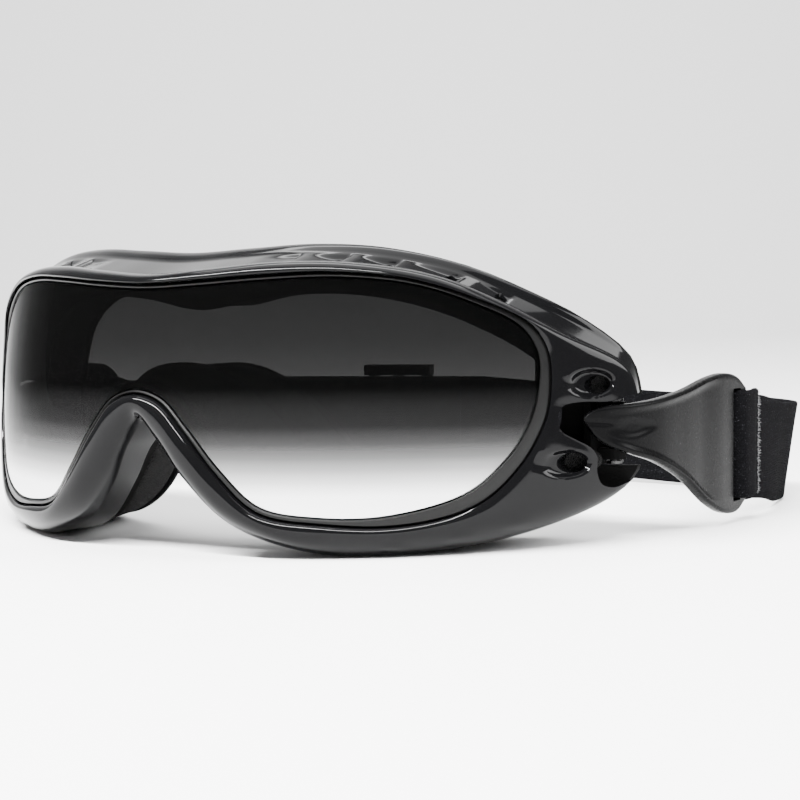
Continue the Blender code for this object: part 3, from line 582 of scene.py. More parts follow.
GLOSS = MouldedPlastic("gloss_shell_plastic")
SATIN = MouldedPlastic(
    "satin_arm_plastic", tone=(0.0015, 0.0015, 0.0016), gloss=(0.24, 0.31), specular=0.03, ripple_mm=0.02
)
MATTE = MouldedPlastic(
    "matte_carrier_plastic", tone=(0.002, 0.002, 0.002), gloss=(0.6, 0.75), specular=0.03, grain_mm=0.01
)
RUBBER = MouldedPlastic(
    "gasket_rubber_black", tone=(0.002, 0.002, 0.002), gloss=(0.35, 0.45), specular=0.15, grain_mm=0.004
)
FOAM = SoftFoam("face_foam_cells")
SCREEN_FOAM = SoftFoam("vent_foam_cells", pore_scale=2200.0, pore_mm=0.25)
FLEECE = Fleece("face_fleece_nap")
WEBBING = Webbing("strap_webbing_weave")
THREAD = Fleece("sewing_thread", tone=(0.008, 0.008, 0.009))
FRAY = Fleece("frayed_yarn", tone=(0.13, 0.13, 0.132))
STEEL = DrawnSteel("hinge_pin_steel")


# ---------------------------------------------------------------- the shared outlines


class Outlines:
    """The rings that the shell and everything inside it are measured from.

    Each table runs down the +X half, from the brow to the nose. LENS holds (x, z). BEZEL and RIM also hold
    the depth behind the lens surface, and FACE the depth behind the curve of the face. The dictionaries give
    values at some of the tables' points.
    """

    LENS = (
        (0.0, 22.3), (13.0, 22.9), (27.0, 23.9), (40.0, 24.3), (53.0, 22.7), (63.2, 18.6), (70.2, 14.0),
        (73.1, 8.5), (73.5, 1.0), (72.2, -6.5), (69.0, -13.2), (62.5, -20.2), (50.0, -24.3), (37.5, -24.4),
        (27.5, -22.3), (20.0, -15.0), (13.0, -6.4), (6.8, -0.1), (0.0, 1.8),
    )
    BEZEL = (
        (0.0, 25.6, 1.0), (14.0, 26.6, 1.0), (28.5, 27.8, 1.0), (42.0, 27.5, 1.0), (56.0, 24.8, 1.0),
        (67.0, 19.3, 1.0), (77.0, 12.4, 1.0), (86.0, 5.6, 1.0), (88.4, -1.0, 0.5), (88.7, -9.5, 0.5),
        (88.0, -17.8, 1.0), (82.5, -23.7, 4.0), (67.5, -30.5, 6.0), (50.0, -33.3, 6.0), (34.0, -32.5, 6.0),
        (20.0, -27.4, 6.0), (11.0, -18.9, 5.5), (5.0, -10.3, 4.0), (0.0, -5.0, 4.0),
    )
    RIM = (
        (0.0, 30.5, 16.0), (14.0, 31.2, 15.4), (29.0, 31.9, 13.8), (43.0, 30.9, 11.8), (57.0, 27.3, 9.7),
        (69.0, 21.4, 7.4), (78.5, 15.2, 5.2), (85.8, 7.4, 3.8), (87.8, -1.0, 3.8), (88.1, -9.5, 4.0),
        (87.2, -17.6, 4.6), (82.0, -23.6, 8.0), (67.5, -30.4, 12.0), (50.0, -33.4, 15.0), (34.5, -32.8, 15.0),
        (21.5, -28.4, 15.0), (12.8, -19.5, 15.0), (6.8, -11.2, 14.5), (0.0, -6.6, 14.0),
    )
    FACE = (
        (0.0, 17.8, 1.0), (13.0, 20.0, 1.0), (27.0, 21.2, 1.0), (40.0, 20.4, 1.0), (51.0, 17.4, 2.0),
        (60.0, 12.8, 3.0), (66.5, 8.0, 4.5), (70.8, 3.0, 5.0), (72.6, -3.0, 5.0), (72.0, -9.0, 5.0),
        (69.0, -14.6, 4.0), (62.0, -19.4, 3.0), (51.0, -21.8, 2.0), (39.5, -21.2, 1.0), (31.0, -17.0, 0.0),
        (25.0, -9.5, -2.0), (18.5, -1.5, -4.0), (9.5, 4.8, -6.0), (0.0, 6.6, -6.0),
    )
    GASKET_WIDTH = {0: 1.0, 4: 1.0, 7: 1.9, 9: 2.5, 11: 3.2, 13: 1.4, 18: 1.0}
    CHANNEL_SHARE = {0: 1.0, 5: 1.0, 7: 0.0, 18: 0.0}
    FOAM_FRONT = {0: 0.1, 5: 0.2, 7.5: 0.74, 10.5: 0.74, 13: 0.04, 18: 0.04}
    FOAM_REAR = {0: 0.15, 5: 0.25, 7.5: 0.74, 10.5: 0.74, 13: 0.06, 16: 0.3, 18: 0.2}
    FOAM_THICKNESS = {0: 13.0, 8.5: 11.0, 13: 14.0, 16: 17.0, 18: 17.0}
    LAND = -33.1
    SHELL_WALL = 2.4
    CHANNEL_DEPTH = 0.9
    GAP = 0.3
    RIM_WIDTH = 1.8
    MOST_WALL_SHARE = 0.92
    WRAP_RADIUS = 70.5
    WRAP_TIGHTENING = 6.0e-8
    LEAN = 0.088
    BOW = 0.0037
    FACE_DEPTH = 22.0
    FACE_BEND = 0.0053

    def __init__(self, plain: int = 9, brow: int = 38, temple: int = 30) -> None:
        """Samples every outline.

        Args:
            plain: samples for each stretch between outline points.
            brow: samples for each stretch that carries brow scoops.
            temple: samples for each stretch of the temple panel, which carries the small features.
        """
        self.steps = [temple if 7 <= i <= 10 else brow if 1 <= i <= 5 else plain for i in range(18)]
        bezel, rim, face = (self.outline(table) for table in (self.BEZEL, self.RIM, self.FACE))
        self.lens = self.outline(self.LENS)
        self.gasket = grow(self.lens, self.along(self.GASKET_WIDTH))
        self.opening = grow(self.gasket, self.GAP)
        self.bezel = self.ring_at(bezel[:, :2], depth=bezel[:, 2])
        self.rim = self.ring_at(rim[:, :2], depth=rim[:, 2])
        behind = self.FACE_DEPTH + self.FACE_BEND * face[:, 0] ** 2 + face[:, 2]
        self.face = np.column_stack([face[:, 0], behind, face[:, 1]])
        self.channel = self.CHANNEL_DEPTH * self.along(self.CHANNEL_SHARE)
        front = self.bezel[:, [0, 2]]
        room = np.linalg.norm(self.opening - front, axis=1)
        wall = np.minimum(self.SHELL_WALL + self.channel, self.MOST_WALL_SHARE * room)
        self.corner = self.ring_at(toward(front, self.opening, wall), skin=self.SHELL_WALL)
        self.inner_rim = toward(self.rim, self.face, self.RIM_WIDTH)
        self.inner_wall = widen(mix(self.corner, self.inner_rim, 0.5), -0.6 * self.channel)

    @classmethod
    def wrap(cls, x: Points, z: Points) -> Points:
        """Depth of the lens surface at a place seen from the front."""
        across = x**2 / (2 * cls.WRAP_RADIUS) + cls.WRAP_TIGHTENING * x**4
        return across + cls.LEAN * z + cls.BOW * z**2

    @classmethod
    def steepness(cls, x: Points, z: Points) -> Points:
        """Depth along Y for one millimetre square to the lens surface."""
        across = cls.wrap(x + 0.5, z) - cls.wrap(x - 0.5, z)
        return np.sqrt(1 + across**2 + (cls.LEAN + 2 * cls.BOW * z) ** 2)

    def ring_at(self, flat: Points, skin: float = 0.0, depth: Points | float = 0.0) -> Points:
        """Ring over a flat outline: skin is measured square to the lens surface, depth along Y."""
        x, z = flat[:, 0], flat[:, 1]
        return np.column_stack([x, self.wrap(x, z) + skin * self.steepness(x, z) + depth, z])

    def outline(self, table: Sequence[tuple]) -> Points:
        """Closed outline, clockwise from the brow as seen from the front, from its +X half."""
        points = np.array(table, float)
        turned = np.ones(points.shape[1])
        turned[0] = -1
        half = catmull([points[1] * turned, *points, points[-2] * turned], self.steps)
        return np.vstack([half, half[-2:0:-1] * turned])

    def along(self, values: dict[float, float]) -> Points:
        """A value that changes round the outlines, from its values at some outline points."""
        half = np.concatenate([i + np.arange(n) / n for i, n in enumerate(self.steps)] + [[18.0]])
        stations = np.array(sorted(values))
        index = np.clip(np.searchsorted(stations, half, side="right") - 1, 0, len(stations) - 2)
        share = smoothstep((half - stations[index]) / (stations[index + 1] - stations[index]), 0, 1)
        level = np.array([values[key] for key in stations])
        half = level[index] + (level[index + 1] - level[index]) * share
        return np.concatenate([half, half[-2:0:-1]])

    def grounded(self, ring: Points) -> Points:
        """A ring with its lowest stretch flattened into the cheek lands."""
        ring = ring.copy()
        ring[:, 2] = np.maximum(ring[:, 2], self.LAND)
        return ring


# ---------------------------------------------------------------- shell


@dataclass
class FrontFrame:
    """Gloss shell with its bead, brow channel, vents, notches and cheek bumps.

    A scoop is (start, end, depth) along X, a scoop hole (place, length, width), a vent (x, z, half length, half
    height) and a bowl the same with its depth. A flank step is (share of the way to the rim, share of the
    channel's depth).
    """

    shop: Workshop
    lines: Outlines
    bead_rise: float = 1.8
    crest_share: float = 0.25
    crest_lip: float = -0.5
    bumps: Table = ((50.6, -31.2), (61.7, -29.6), (70.5, -27.3))
    bump_height: float = 0.7
    notch_lip: float = 2.4
    notch_fall: float = 0.16
    scoops: Table = (
        (19.0, 29.0, 0.6), (29.3, 38.6, 0.95), (39.2, 48.2, 1.0), (48.6, 59.6, 0.6), (61.0, 68.2, 0.4),
    )
    scoop_holes: Table = (
        (36.9, 1.6, 3.0), (46.4, 1.6, 3.0), (57.6, 2.2, 2.6), (66.0, 2.4, 2.6),
    )
    upper_vent: tuple[float, float, float, float] = (82.3, 1.4, 1.9, 2.0)
    lower_vent: tuple[float, float, float, float] = (78.9, -14.8, 2.3, 2.1)
    bowls: Table = ((82.0, 1.9, 3.6, 3.2, 1.5), (78.5, -14.9, 4.1, 3.2, 1.3))
    flank_steps: Table = (
        (0.0, 0.0), (0.02, 0.0), (0.04, 0.12), (0.07, 0.75), (0.10, 0.97),
        *((float(share), 1.0) for share in np.linspace(0.125, 0.69, 16)),
        (0.73, 0.94), (0.79, 0.6), (0.85, 0.2), (0.90, 0.03), (0.96, 0.0), (0.985, 0.0),
    )
    notch: Table = (
        (76.8, -5.0), (77.6, -2.7), (80.0, -2.0), (85.0, -2.0), (88.0, -0.8), (98.0, -0.8), (98.0, -19.4),
        (88.0, -19.4), (85.2, -20.6), (83.4, -19.8), (82.6, -17.0), (82.6, -13.6), (81.6, -11.6),
        (79.4, -9.8), (77.4, -8.0),
    )

    def bead(self, turn: float) -> Points:
        """Ring of the rounded bezel: turn -90 is the opening's edge, 0 the crest, 90 the outer edge."""
        lines = self.lines
        sine, cosine = math.sin(math.radians(turn)), math.cos(math.radians(turn))
        crest = self.crest_share
        front = lines.bezel[:, [0, 2]]
        if turn < 0:
            share = crest * (1 + sine)
            edge = self.crest_lip * lines.steepness(lines.opening[:, 0], lines.opening[:, 1])
            depth = edge + (-self.bead_rise - edge) * cosine
        else:
            share = crest + (1 - crest) * sine
            behind = lines.bezel[:, 1] - lines.wrap(lines.bezel[:, 0], lines.bezel[:, 2])
            depth = behind - (behind + self.bead_rise) * cosine
        return lines.grounded(lines.ring_at(lines.opening * (1 - share) + front * share, depth=depth))

    def flank(self, share: float, sunk: float) -> Points:
        """Ring of the flank between bezel and rear rim, sunk by a share of the channel's depth."""
        lines = self.lines
        ring = mix(lines.bezel, lines.rim, share)
        return lines.grounded(widen(ring, -sunk * lines.channel - self.scoop(ring, share)))

    def scoop(self, ring: Points, share: float) -> Points:
        """Depth of the brow scoops: each floor falls away outboard and climbs steeply to the next rib."""
        x = np.abs(ring[:, 0])
        window = float(smoothstep(share, 0.12, 0.24) * (1 - smoothstep(share, 0.56, 0.70)))
        depth = np.zeros(len(ring))
        for start, end, deep in self.scoops:
            place = (x - start) / (end - start)
            depth += deep * smoothstep(place, 0.0, 0.75) * (1 - smoothstep(place, 0.88, 1.0))
        return np.where(ring[:, 2] > 0, window * depth, 0)

    def rings(self) -> list[Points]:
        """Section rings, from the opening's back edge over the front and round to the inside."""
        lines = self.lines
        made = [lines.ring_at(lines.opening, skin=s) for s in (lines.SHELL_WALL, 1.2, 0.2)]
        made += [self.bead(turn) for turn in (-90, -70, -50, -30, -12)]
        made += [self.bead(turn) for turn in np.degrees(np.arcsin(np.linspace(0, 0.998, 40)))]
        made += [self.flank(share, sunk) for share, sunk in self.flank_steps]
        made.append(lines.grounded(deepen(widen(lines.rim, -0.12), -0.06)))
        made.append(lines.grounded(widen(lines.rim, -0.4)))
        made += [lines.inner_rim, lines.inner_wall, lines.corner]
        return made

    @staticmethod
    def oval(vent: Sequence[float], count: int = 40) -> Points:
        """Flat oval from its centre and half sizes."""
        x, z, half_length, half_height = vent
        turn = full_turn(count)
        return np.column_stack([x + half_length * np.cos(turn), z + half_height * np.sin(turn)])

    def shape(self, points: Points) -> Points:
        """Sinks the bowls round the temple vents, rounds the notch's lip and raises the cheek bumps."""
        points = points.copy()
        x, z = np.abs(points[:, 0]), points[:, 2]
        lines = self.lines
        skin = (points[:, 1] - lines.wrap(points[:, 0], z)) / lines.steepness(points[:, 0], z)
        outer = (skin < 1.0) & (x > 70)
        flat = np.column_stack([x, z])
        inward = np.zeros(len(points))
        for cx, cz, half_length, half_height, depth in self.bowls:
            reach = np.hypot((x - cx) / half_length, (z - cz) / half_height)
            inward += depth * (1 - smoothstep(reach, 0.62, 1.0))
        distance = polygon_distance(flat, self.notch_outline())
        fall = self.notch_fall * (1 - np.clip(distance / self.notch_lip, 0, 1)) ** 2
        fall *= smoothstep(distance, -1.6, -0.5) * (1 - smoothstep(x, 84.5, 87.0))
        inward = np.maximum(inward, fall)
        points[:, 1] += np.where(outer, inward * 1.15, 0)
        points[:, 0] -= np.where(outer, np.sign(points[:, 0]) * 0.35 * inward, 0)
        for bx, bz in self.bumps:
            reach = np.hypot((x - bx) / 2.3, (z - bz) / 1.5)
            rise = self.bump_height * np.exp(-2.0 * reach**2)
            points[:, 1] -= np.where(points[:, 1] < lines.bezel[:, 1].max(), rise, 0)
        return points

    def notch_outline(self) -> Points:
        """Notch polygon with its corners softened."""
        points = np.array(self.notch)
        rounded = catmull([points[-1], *points, points[0], points[1]], 4)
        return rounded[:-1]

    def scoop_cutter(self, side: Side, place: float, length: float, width: float) -> Piece:
        """Upright, slanted cutter of the hole at the deep end of a brow scoop."""
        middle = mix(self.lines.bezel, self.lines.rim, 0.42)
        half = middle[:sum(self.lines.steps[:7])]
        centre = half[int(np.argmin(np.abs(half[:, 0] - place)))]
        across, along = squared_circle(24, 0.5)
        ring = centre + np.column_stack([across * length / 2, along * width / 2, np.zeros(len(across))])
        slant = np.array([1.5, 0, 5.0])
        low, high = ring - slant, ring + slant
        name = f"scoop_cut_{place:.0f}_{side.word}"
        return self.shop.prism(name, mirrored(low, side), mirrored(high, side))

    def notch_cutter(self, side: Side) -> Piece:
        """Cutter of the arm's notch, driven in slantwise from the front outer corner."""
        flat = self.notch_outline()
        surface = self.lines.ring_at(flat)
        slant = np.array([0.5, -0.87, 0.0])
        rings = [mirrored(surface + slant * reach, side) for reach in (12.0, -14.0)]
        return self.shop.prism(f"notch_cut_{side.word}", *rings)

    def through_cutter(self, name: str, flat: Points, side: Side, near: float, far: float) -> Piece:
        """Straight cutter along Y over a flat outline."""
        low = np.column_stack([flat[:, 0], np.full(len(flat), near), flat[:, 1]])
        high = low + (0, far - near, 0)
        return self.shop.prism(f"{name}_{side.word}", mirrored(low, side), mirrored(high, side))

    def build(self) -> Piece:
        """Makes the shell.

        Returns:
            The dressed piece.
        """
        points, faces = loft(self.rings())
        made = self.shop.solid("front_shell", self.shape(points), faces)
        cutters = []
        for side in Side:
            cutters.append(self.notch_cutter(side))
            for name, vent in (("upper_cut", self.upper_vent), ("lower_cut", self.lower_vent)):
                depth = float(self.lines.wrap(vent[0], vent[1]))
                cutters.append(self.through_cutter(name, self.oval(vent), side, depth - 8, depth + 9))
            cutters += [self.scoop_cutter(side, *hole) for hole in self.scoop_holes]
        self.shop.combine(made, cutters, "DIFFERENCE")
        dress(made, GLOSS)
        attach(made, "frame")
        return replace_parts(made, "front_frame")


@dataclass
class Shield:
    """Smoke lens and the rubber gasket it sits in."""

    shop: Workshop
    lines: Outlines
    thickness: float = 2.0
    gasket_lip: float = 1.5
    gasket_back: float = 1.0
    gap: float = 0.3
    lens_steps: tuple[float, ...] = (0.0, 0.012, 0.1, 0.22, 0.36, 0.5, 0.64, 0.78, 0.9, 0.97)

    def lens_shape(self) -> tuple[Points, Faces]:
        """Front and back skins closing on a line midway between brow and cheek."""
        flat = self.lines.lens
        count = len(flat)
        outermost = int(np.argmax(flat[:count // 2, 0]))
        upper, lower = flat[:outermost + 1], flat[outermost:count // 2 + 1]
        x = 0.93 * flat[:, 0]
        top = np.interp(np.abs(x), upper[:, 0], upper[:, 1])
        bottom = np.interp(np.abs(x), lower[::-1, 0], lower[::-1, 1])
        spine = np.column_stack([x, (top + bottom) / 2])
        flats = [mix(flat, spine, share) for share in self.lens_steps]
        front = [self.lines.ring_at(f) for f in reversed(flats)]
        back = [self.lines.ring_at(f, skin=self.thickness) for f in flats]
        return loft(front + back, onward=False)

    def build_lens(self) -> Piece:
        """Makes the lens."""
        made = self.shop.solid("shield_lens", *self.lens_shape(), sharp=50)
        low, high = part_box("lens")
        dress(made, SmokeLens("smoke_gradient_lens", low=low.z, high=high.z))
        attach(made, "frame")
        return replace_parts(made, "lens")

    def build_gasket(self) -> Piece:
        """Makes the gasket."""
        lines = self.lines
        beside, rounding = 1.4 * self.gap, 0.25
        inner = grow(lines.lens, beside)
        lip = grow(lines.lens, -self.gasket_lip)
        seat = self.thickness + 1.6 * self.gap
        back = seat + self.gasket_back
        corners = (
            (inner, -0.05), (grow(lines.lens, beside + rounding), -0.3),
            (grow(lines.gasket, -rounding), -0.3), (lines.gasket, -0.05),
            (lines.gasket, back), (lip, back), (lip, seat), (inner, seat),
        )
        made = self.shop.solid("lens_seal", *loft([lines.ring_at(flat, skin=skin) for flat, skin in corners]))
        dress(made, RUBBER)
        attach(made, "frame")
        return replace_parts(made, "lens_gasket")


@dataclass
class FacePad:
    """Foam pad, its lining and the vent screens."""

    shop: Workshop
    lines: Outlines
    carrier_thickness: float = 1.8
    rim_seat: float = 0.5
    seat: float = 0.6
    foam_lip: float = 0.8
    lining_thickness: float = 2.0
    screen_thickness: float = 1.0
    overlap: float = 0.6

    def edges(self) -> tuple[Points, Points]:
        """Outer and inner edge of the carrier's back."""
        lines = self.lines
        outer = deepen(widen(lines.rim, -lines.GAP), self.rim_seat + self.carrier_thickness)
        return outer, deepen(toward(lines.face, lines.rim, self.foam_lip), self.carrier_thickness)

    def cushion(
        self, name: str, shares: tuple[dict, dict], start: Points, end: Points, section: Points
    ) -> Piece:
        """Ring-shaped cushion.

        Args:
            name: object name.
            shares: way from the rim to the face opening of the outer edge, at the front and at the back.
            start: depth of the front face behind the carrier.
            end: depth of the back face behind the carrier.
            section: closed section, as pairs of a share across the ring and a share through it.

        Returns:
            The cushion.
        """
        lines = self.lines
        outer, inner = self.edges()
        front = deepen(mix(outer, inner, lines.along(shares[0])), start)
        back = deepen(mix(outer, inner, lines.along(shares[1])), end)
        inner_front, inner_back = deepen(inner, start), deepen(inner, end)
        rings = []
        for across, inward in section:
            outside, inside = mix(front, back, inward), mix(inner_front, inner_back, inward)
            rings.append(lines.grounded(mix(outside, inside, across)))
        return self.shop.solid(name, *loft(rings), sharp=SOFT_SHARP)

    @staticmethod
    def soft_section(roundness: float, crown: float, count: int = 44) -> Points:
        """Rounded square of shares, with its rear face crowned."""
        across, inward = (0.5 + 0.5 * wave for wave in squared_circle(count, roundness))
        dip = crown * (2 * across - 1) ** 2
        return np.column_stack([across, inward * (1 - dip)])

    def build(self) -> list[Piece]:
        """Makes the foam and its lining."""
        lines = self.lines
        depth = lines.along(lines.FOAM_THICKNESS)
        start = np.full(len(depth), self.seat)
        shares, section = (lines.FOAM_FRONT, lines.FOAM_REAR), self.soft_section(0.22, 0.0)
        foam = self.cushion("foam_cushion", shares, start, start + depth, section)
        dress(foam, FOAM)
        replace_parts(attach(foam, "frame"), "foam_pad")
        start = depth + 2 * self.seat
        end = start + self.lining_thickness
        section = self.soft_section(0.4, 0.12)
        lining = self.cushion("fleece_lining", (lines.FOAM_REAR, lines.FOAM_REAR), start, end, section)
        dress(lining, FLEECE)
        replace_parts(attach(lining, "frame"), "face_lining")
        return [foam, lining]

    def build_screens(self) -> list[Piece]:
        """Makes the breathable strips and discs behind the vents."""
        lines = self.lines
        made = []
        first, last = sum(lines.steps[:2]), sum(lines.steps[:5]) + 3
        wall = lines.inner_wall
        paths = [mix(lines.corner, wall, 0.6), wall, mix(wall, lines.inner_rim, 0.7)]
        inset = -lines.GAP - 0.1
        near = [widen(path, inset)[first:last] for path in paths]
        far = [widen(path, inset - self.screen_thickness)[first:last] for path in reversed(paths)]
        for side in Side:
            points, faces = loft(near + far, around=False)
            strip = self.shop.solid(f"brow_vent_foam_{side.word}", mirrored(points, side), faces)
            made.append(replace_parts(strip, f"top_vent_screen_{side.word}"))
            for word, vent in (("upper", FrontFrame.upper_vent), ("lower", FrontFrame.lower_vent)):
                flat = FrontFrame.oval((vent[0], vent[1], vent[2] + self.overlap, vent[3] + self.overlap), 32)
                front = lines.SHELL_WALL + 2 * lines.GAP
                skins = (front, front + 0.6 * self.screen_thickness)
                rings = [lines.ring_at(flat, skin=skin) for skin in skins]
                points, faces = loft(rings, onward=False)
                disc = self.shop.solid(f"temple_vent_foam_{word}_{side.word}", mirrored(points, side), faces)
                made.append(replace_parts(disc, f"side_vent_screen_{word}_{side.word}"))
        for piece in made:
            dress(piece, SCREEN_FOAM)
            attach(piece, "frame")
        return made


# ---------------------------------------------------------------- strap arms


@dataclass
class Arm:
    """Moulded strap arm: pointed tip, raised lips, teardrop hollow, knuckle and flared slotted end.

    Each station holds x, y, the upper edge's height, the lower edge's height and the share of the thickness.
    """

    shop: Workshop
    thickness: float = 3.0
    knuckle_radius: float = 2.5
    knuckle_top: float = -5.4
    knuckle_height: float = 7.0
    pin_bore: float = 1.4
    bore_ends: tuple[float, float] = (-16.0, -2.0)
    slot_width: float = 4.2
    slot_y: float = 102.9
    strap_z: float = -15.0
    strap_reach: float = 13.2
    lip_height: float = 0.55
    stations: Table = (
        (80.9, 48.2, -5.4, -6.0, 0.15), (81.6, 48.9, -4.5, -7.4, 0.40),
        (82.8, 50.2, -3.7, -9.6, 0.55), (84.9, 52.6, -3.1, -11.6, 0.80),
        (88.2, 57.4, -2.8, -13.6, 0.90), (91.2, 66.0, -2.2, -16.2, 1.0), (93.1, 77.0, -0.8, -20.8, 1.0),
        (94.5, 89.0, 1.4, -27.6, 1.0), (95.3, 97.5, 2.0, -30.6, 1.0), (95.8, 104.0, 0.9, -30.8, 1.0),
        (96.1, 108.2, -1.4, -28.8, 0.9),
    )
    pin: tuple[float, float] = (82.6, 60.6)

    def __post_init__(self) -> None:
        """Samples the arm's line."""
        self.line = through(self.stations, 14)
        self.run = headings(self.line)
        self.normal = np.column_stack([self.run[:, 1], -self.run[:, 0]])

    def end_frame(self) -> tuple[Points, Points, Points]:
        """Centre of the slot on the outer face, with the directions along the arm and outward."""
        coarse = through(self.stations, 3)
        x = float(np.interp(self.slot_y, coarse[:, 1], coarse[:, 0]))
        run = coarse[-1, :2] - coarse[-10, :2]
        run = run / np.linalg.norm(run)
        return np.array([x, self.slot_y]), run, np.array([run[1], -run[0]])

    def relief(self, y: float, height: Points, top: float, bottom: float) -> Points:
        """How far the outer face lies below its lips at some heights."""
        tall = top - bottom
        share = (height - bottom) / tall
        lips = smoothstep(np.minimum(share, 1 - share) * tall, 0.6, 2.2)
        sunk = self.lip_height * lips * smoothstep(y, 51, 58) * (1 - smoothstep(y, 84, 96))
        tear = np.hypot((y - 58.6) / 6.6, (height + 8.0) / (2.4 - 1.0 * smoothstep(y, 56, 65)))
        sunk = sunk + 0.4 * (1 - smoothstep(tear, 0.35, 1.1))
        fold = np.abs(height + 6.4 + 0.10 * (y - 49)) / 0.5
        sunk = sunk + 0.25 * np.exp(-fold**2) * (1 - smoothstep(y, 51, 55))
        return sunk

    def section(self, row: Points) -> Points:
        """Closed section of the arm in (outward, height) at one station."""
        _, y, top, bottom, share = row
        thick = self.thickness * share
        edge = min(0.9, 0.32 * thick, 0.32 * (top - bottom))
        turns = np.radians(np.linspace(0, 90, 6))
        heights = np.linspace(top - edge, bottom + edge, 40)
        face = np.column_stack([-self.relief(y, heights, top, bottom), heights])
        corner = [(-edge + edge * math.cos(t), bottom + edge - edge * math.sin(t)) for t in turns[1:]]
        corner += [(-thick + edge - edge * math.sin(t), bottom + edge - edge * math.cos(t)) for t in turns]
        corner += [(-thick + edge - edge * math.cos(t), top - edge + edge * math.sin(t)) for t in turns]
        corner += [(-edge + edge * math.sin(t), top - edge + edge * math.cos(t)) for t in turns[:-1]]
        return np.vstack([face, corner])

    def build(self, side: Side) -> Piece:
        """Makes one arm."""
        rings = []
        for row, (normal_x, normal_y) in zip(self.line, self.normal):
            outward, height = self.section(row).T
            rings.append(np.column_stack([row[0] + outward * normal_x, row[1] + outward * normal_y, height]))
        points, faces = loft(rings, onward=False)
        made = self.shop.solid(f"strap_arm_{side.word}", mirrored(points, side), faces)
        self.shop.combine(made, [self.knuckle(side)], "UNION")
        self.shop.combine(made, [self.slot_cutter(side), self.bore_cutter(side)], "DIFFERENCE")
        dress(made, SATIN)
        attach(made, side.body)
        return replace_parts(made, f"outrigger_{side.word}")

    def knuckle(self, side: Side) -> Piece:
        """Barrel round the pin with the web that joins it to the arm's inner face."""
        x, y = self.pin
        nearest = int(np.argmin(np.linalg.norm(self.line[:, :2] - (x, y), axis=1)))
        normal, run = self.normal[nearest], self.run[nearest]
        reach = float(np.dot(self.line[nearest, :2] - (x, y), normal)) - 0.5 * self.thickness
        turns = math.atan2(normal[1], normal[0]) + np.radians(np.linspace(90, 270, 19))
        plan = [(x + self.knuckle_radius * math.cos(t), y + self.knuckle_radius * math.sin(t)) for t in turns]
        foot = np.array([x, y]) + reach * normal
        plan += [tuple(foot + sign * self.knuckle_radius * run) for sign in (-1, 1)]
        return self.upright("knuckle", plan, self.knuckle_top - self.knuckle_height, self.knuckle_top, side)

    def upright(self, name: str, plan: Sequence, low: float, high: float, side: Side) -> Piece:
        """Upright prism over a plan."""
        flat = np.array([tuple(p) for p in plan], float)
        rings = [np.column_stack([flat, np.full(len(flat), level)]) for level in (low, high)]
        return self.shop.prism(f"{name}_{side.word}", *[mirrored(ring, side) for ring in rings])

    def slot_cutter(self, side: Side) -> Piece:
        """Cutter of the strap slot."""
        place, run, normal = self.end_frame()
        half = self.slot_width / 2
        plan = [place + a * half * run + b * 8 * normal for a, b in ((-1, -1), (1, -1), (1, 1), (-1, 1))]
        low, high = self.strap_z - self.strap_reach, self.strap_z + self.strap_reach
        return self.upright("slot", plan, low, high, side)

    def bore_cutter(self, side: Side) -> Piece:
        """Cutter of the pin's hole."""
        (x, y), radius = self.pin, self.pin_bore
        plan = [(x + radius * math.cos(t), y + radius * math.sin(t)) for t in full_turn(24)]
        return self.upright("bore", plan, *self.bore_ends, side)


# ---------------------------------------------------------------- strap


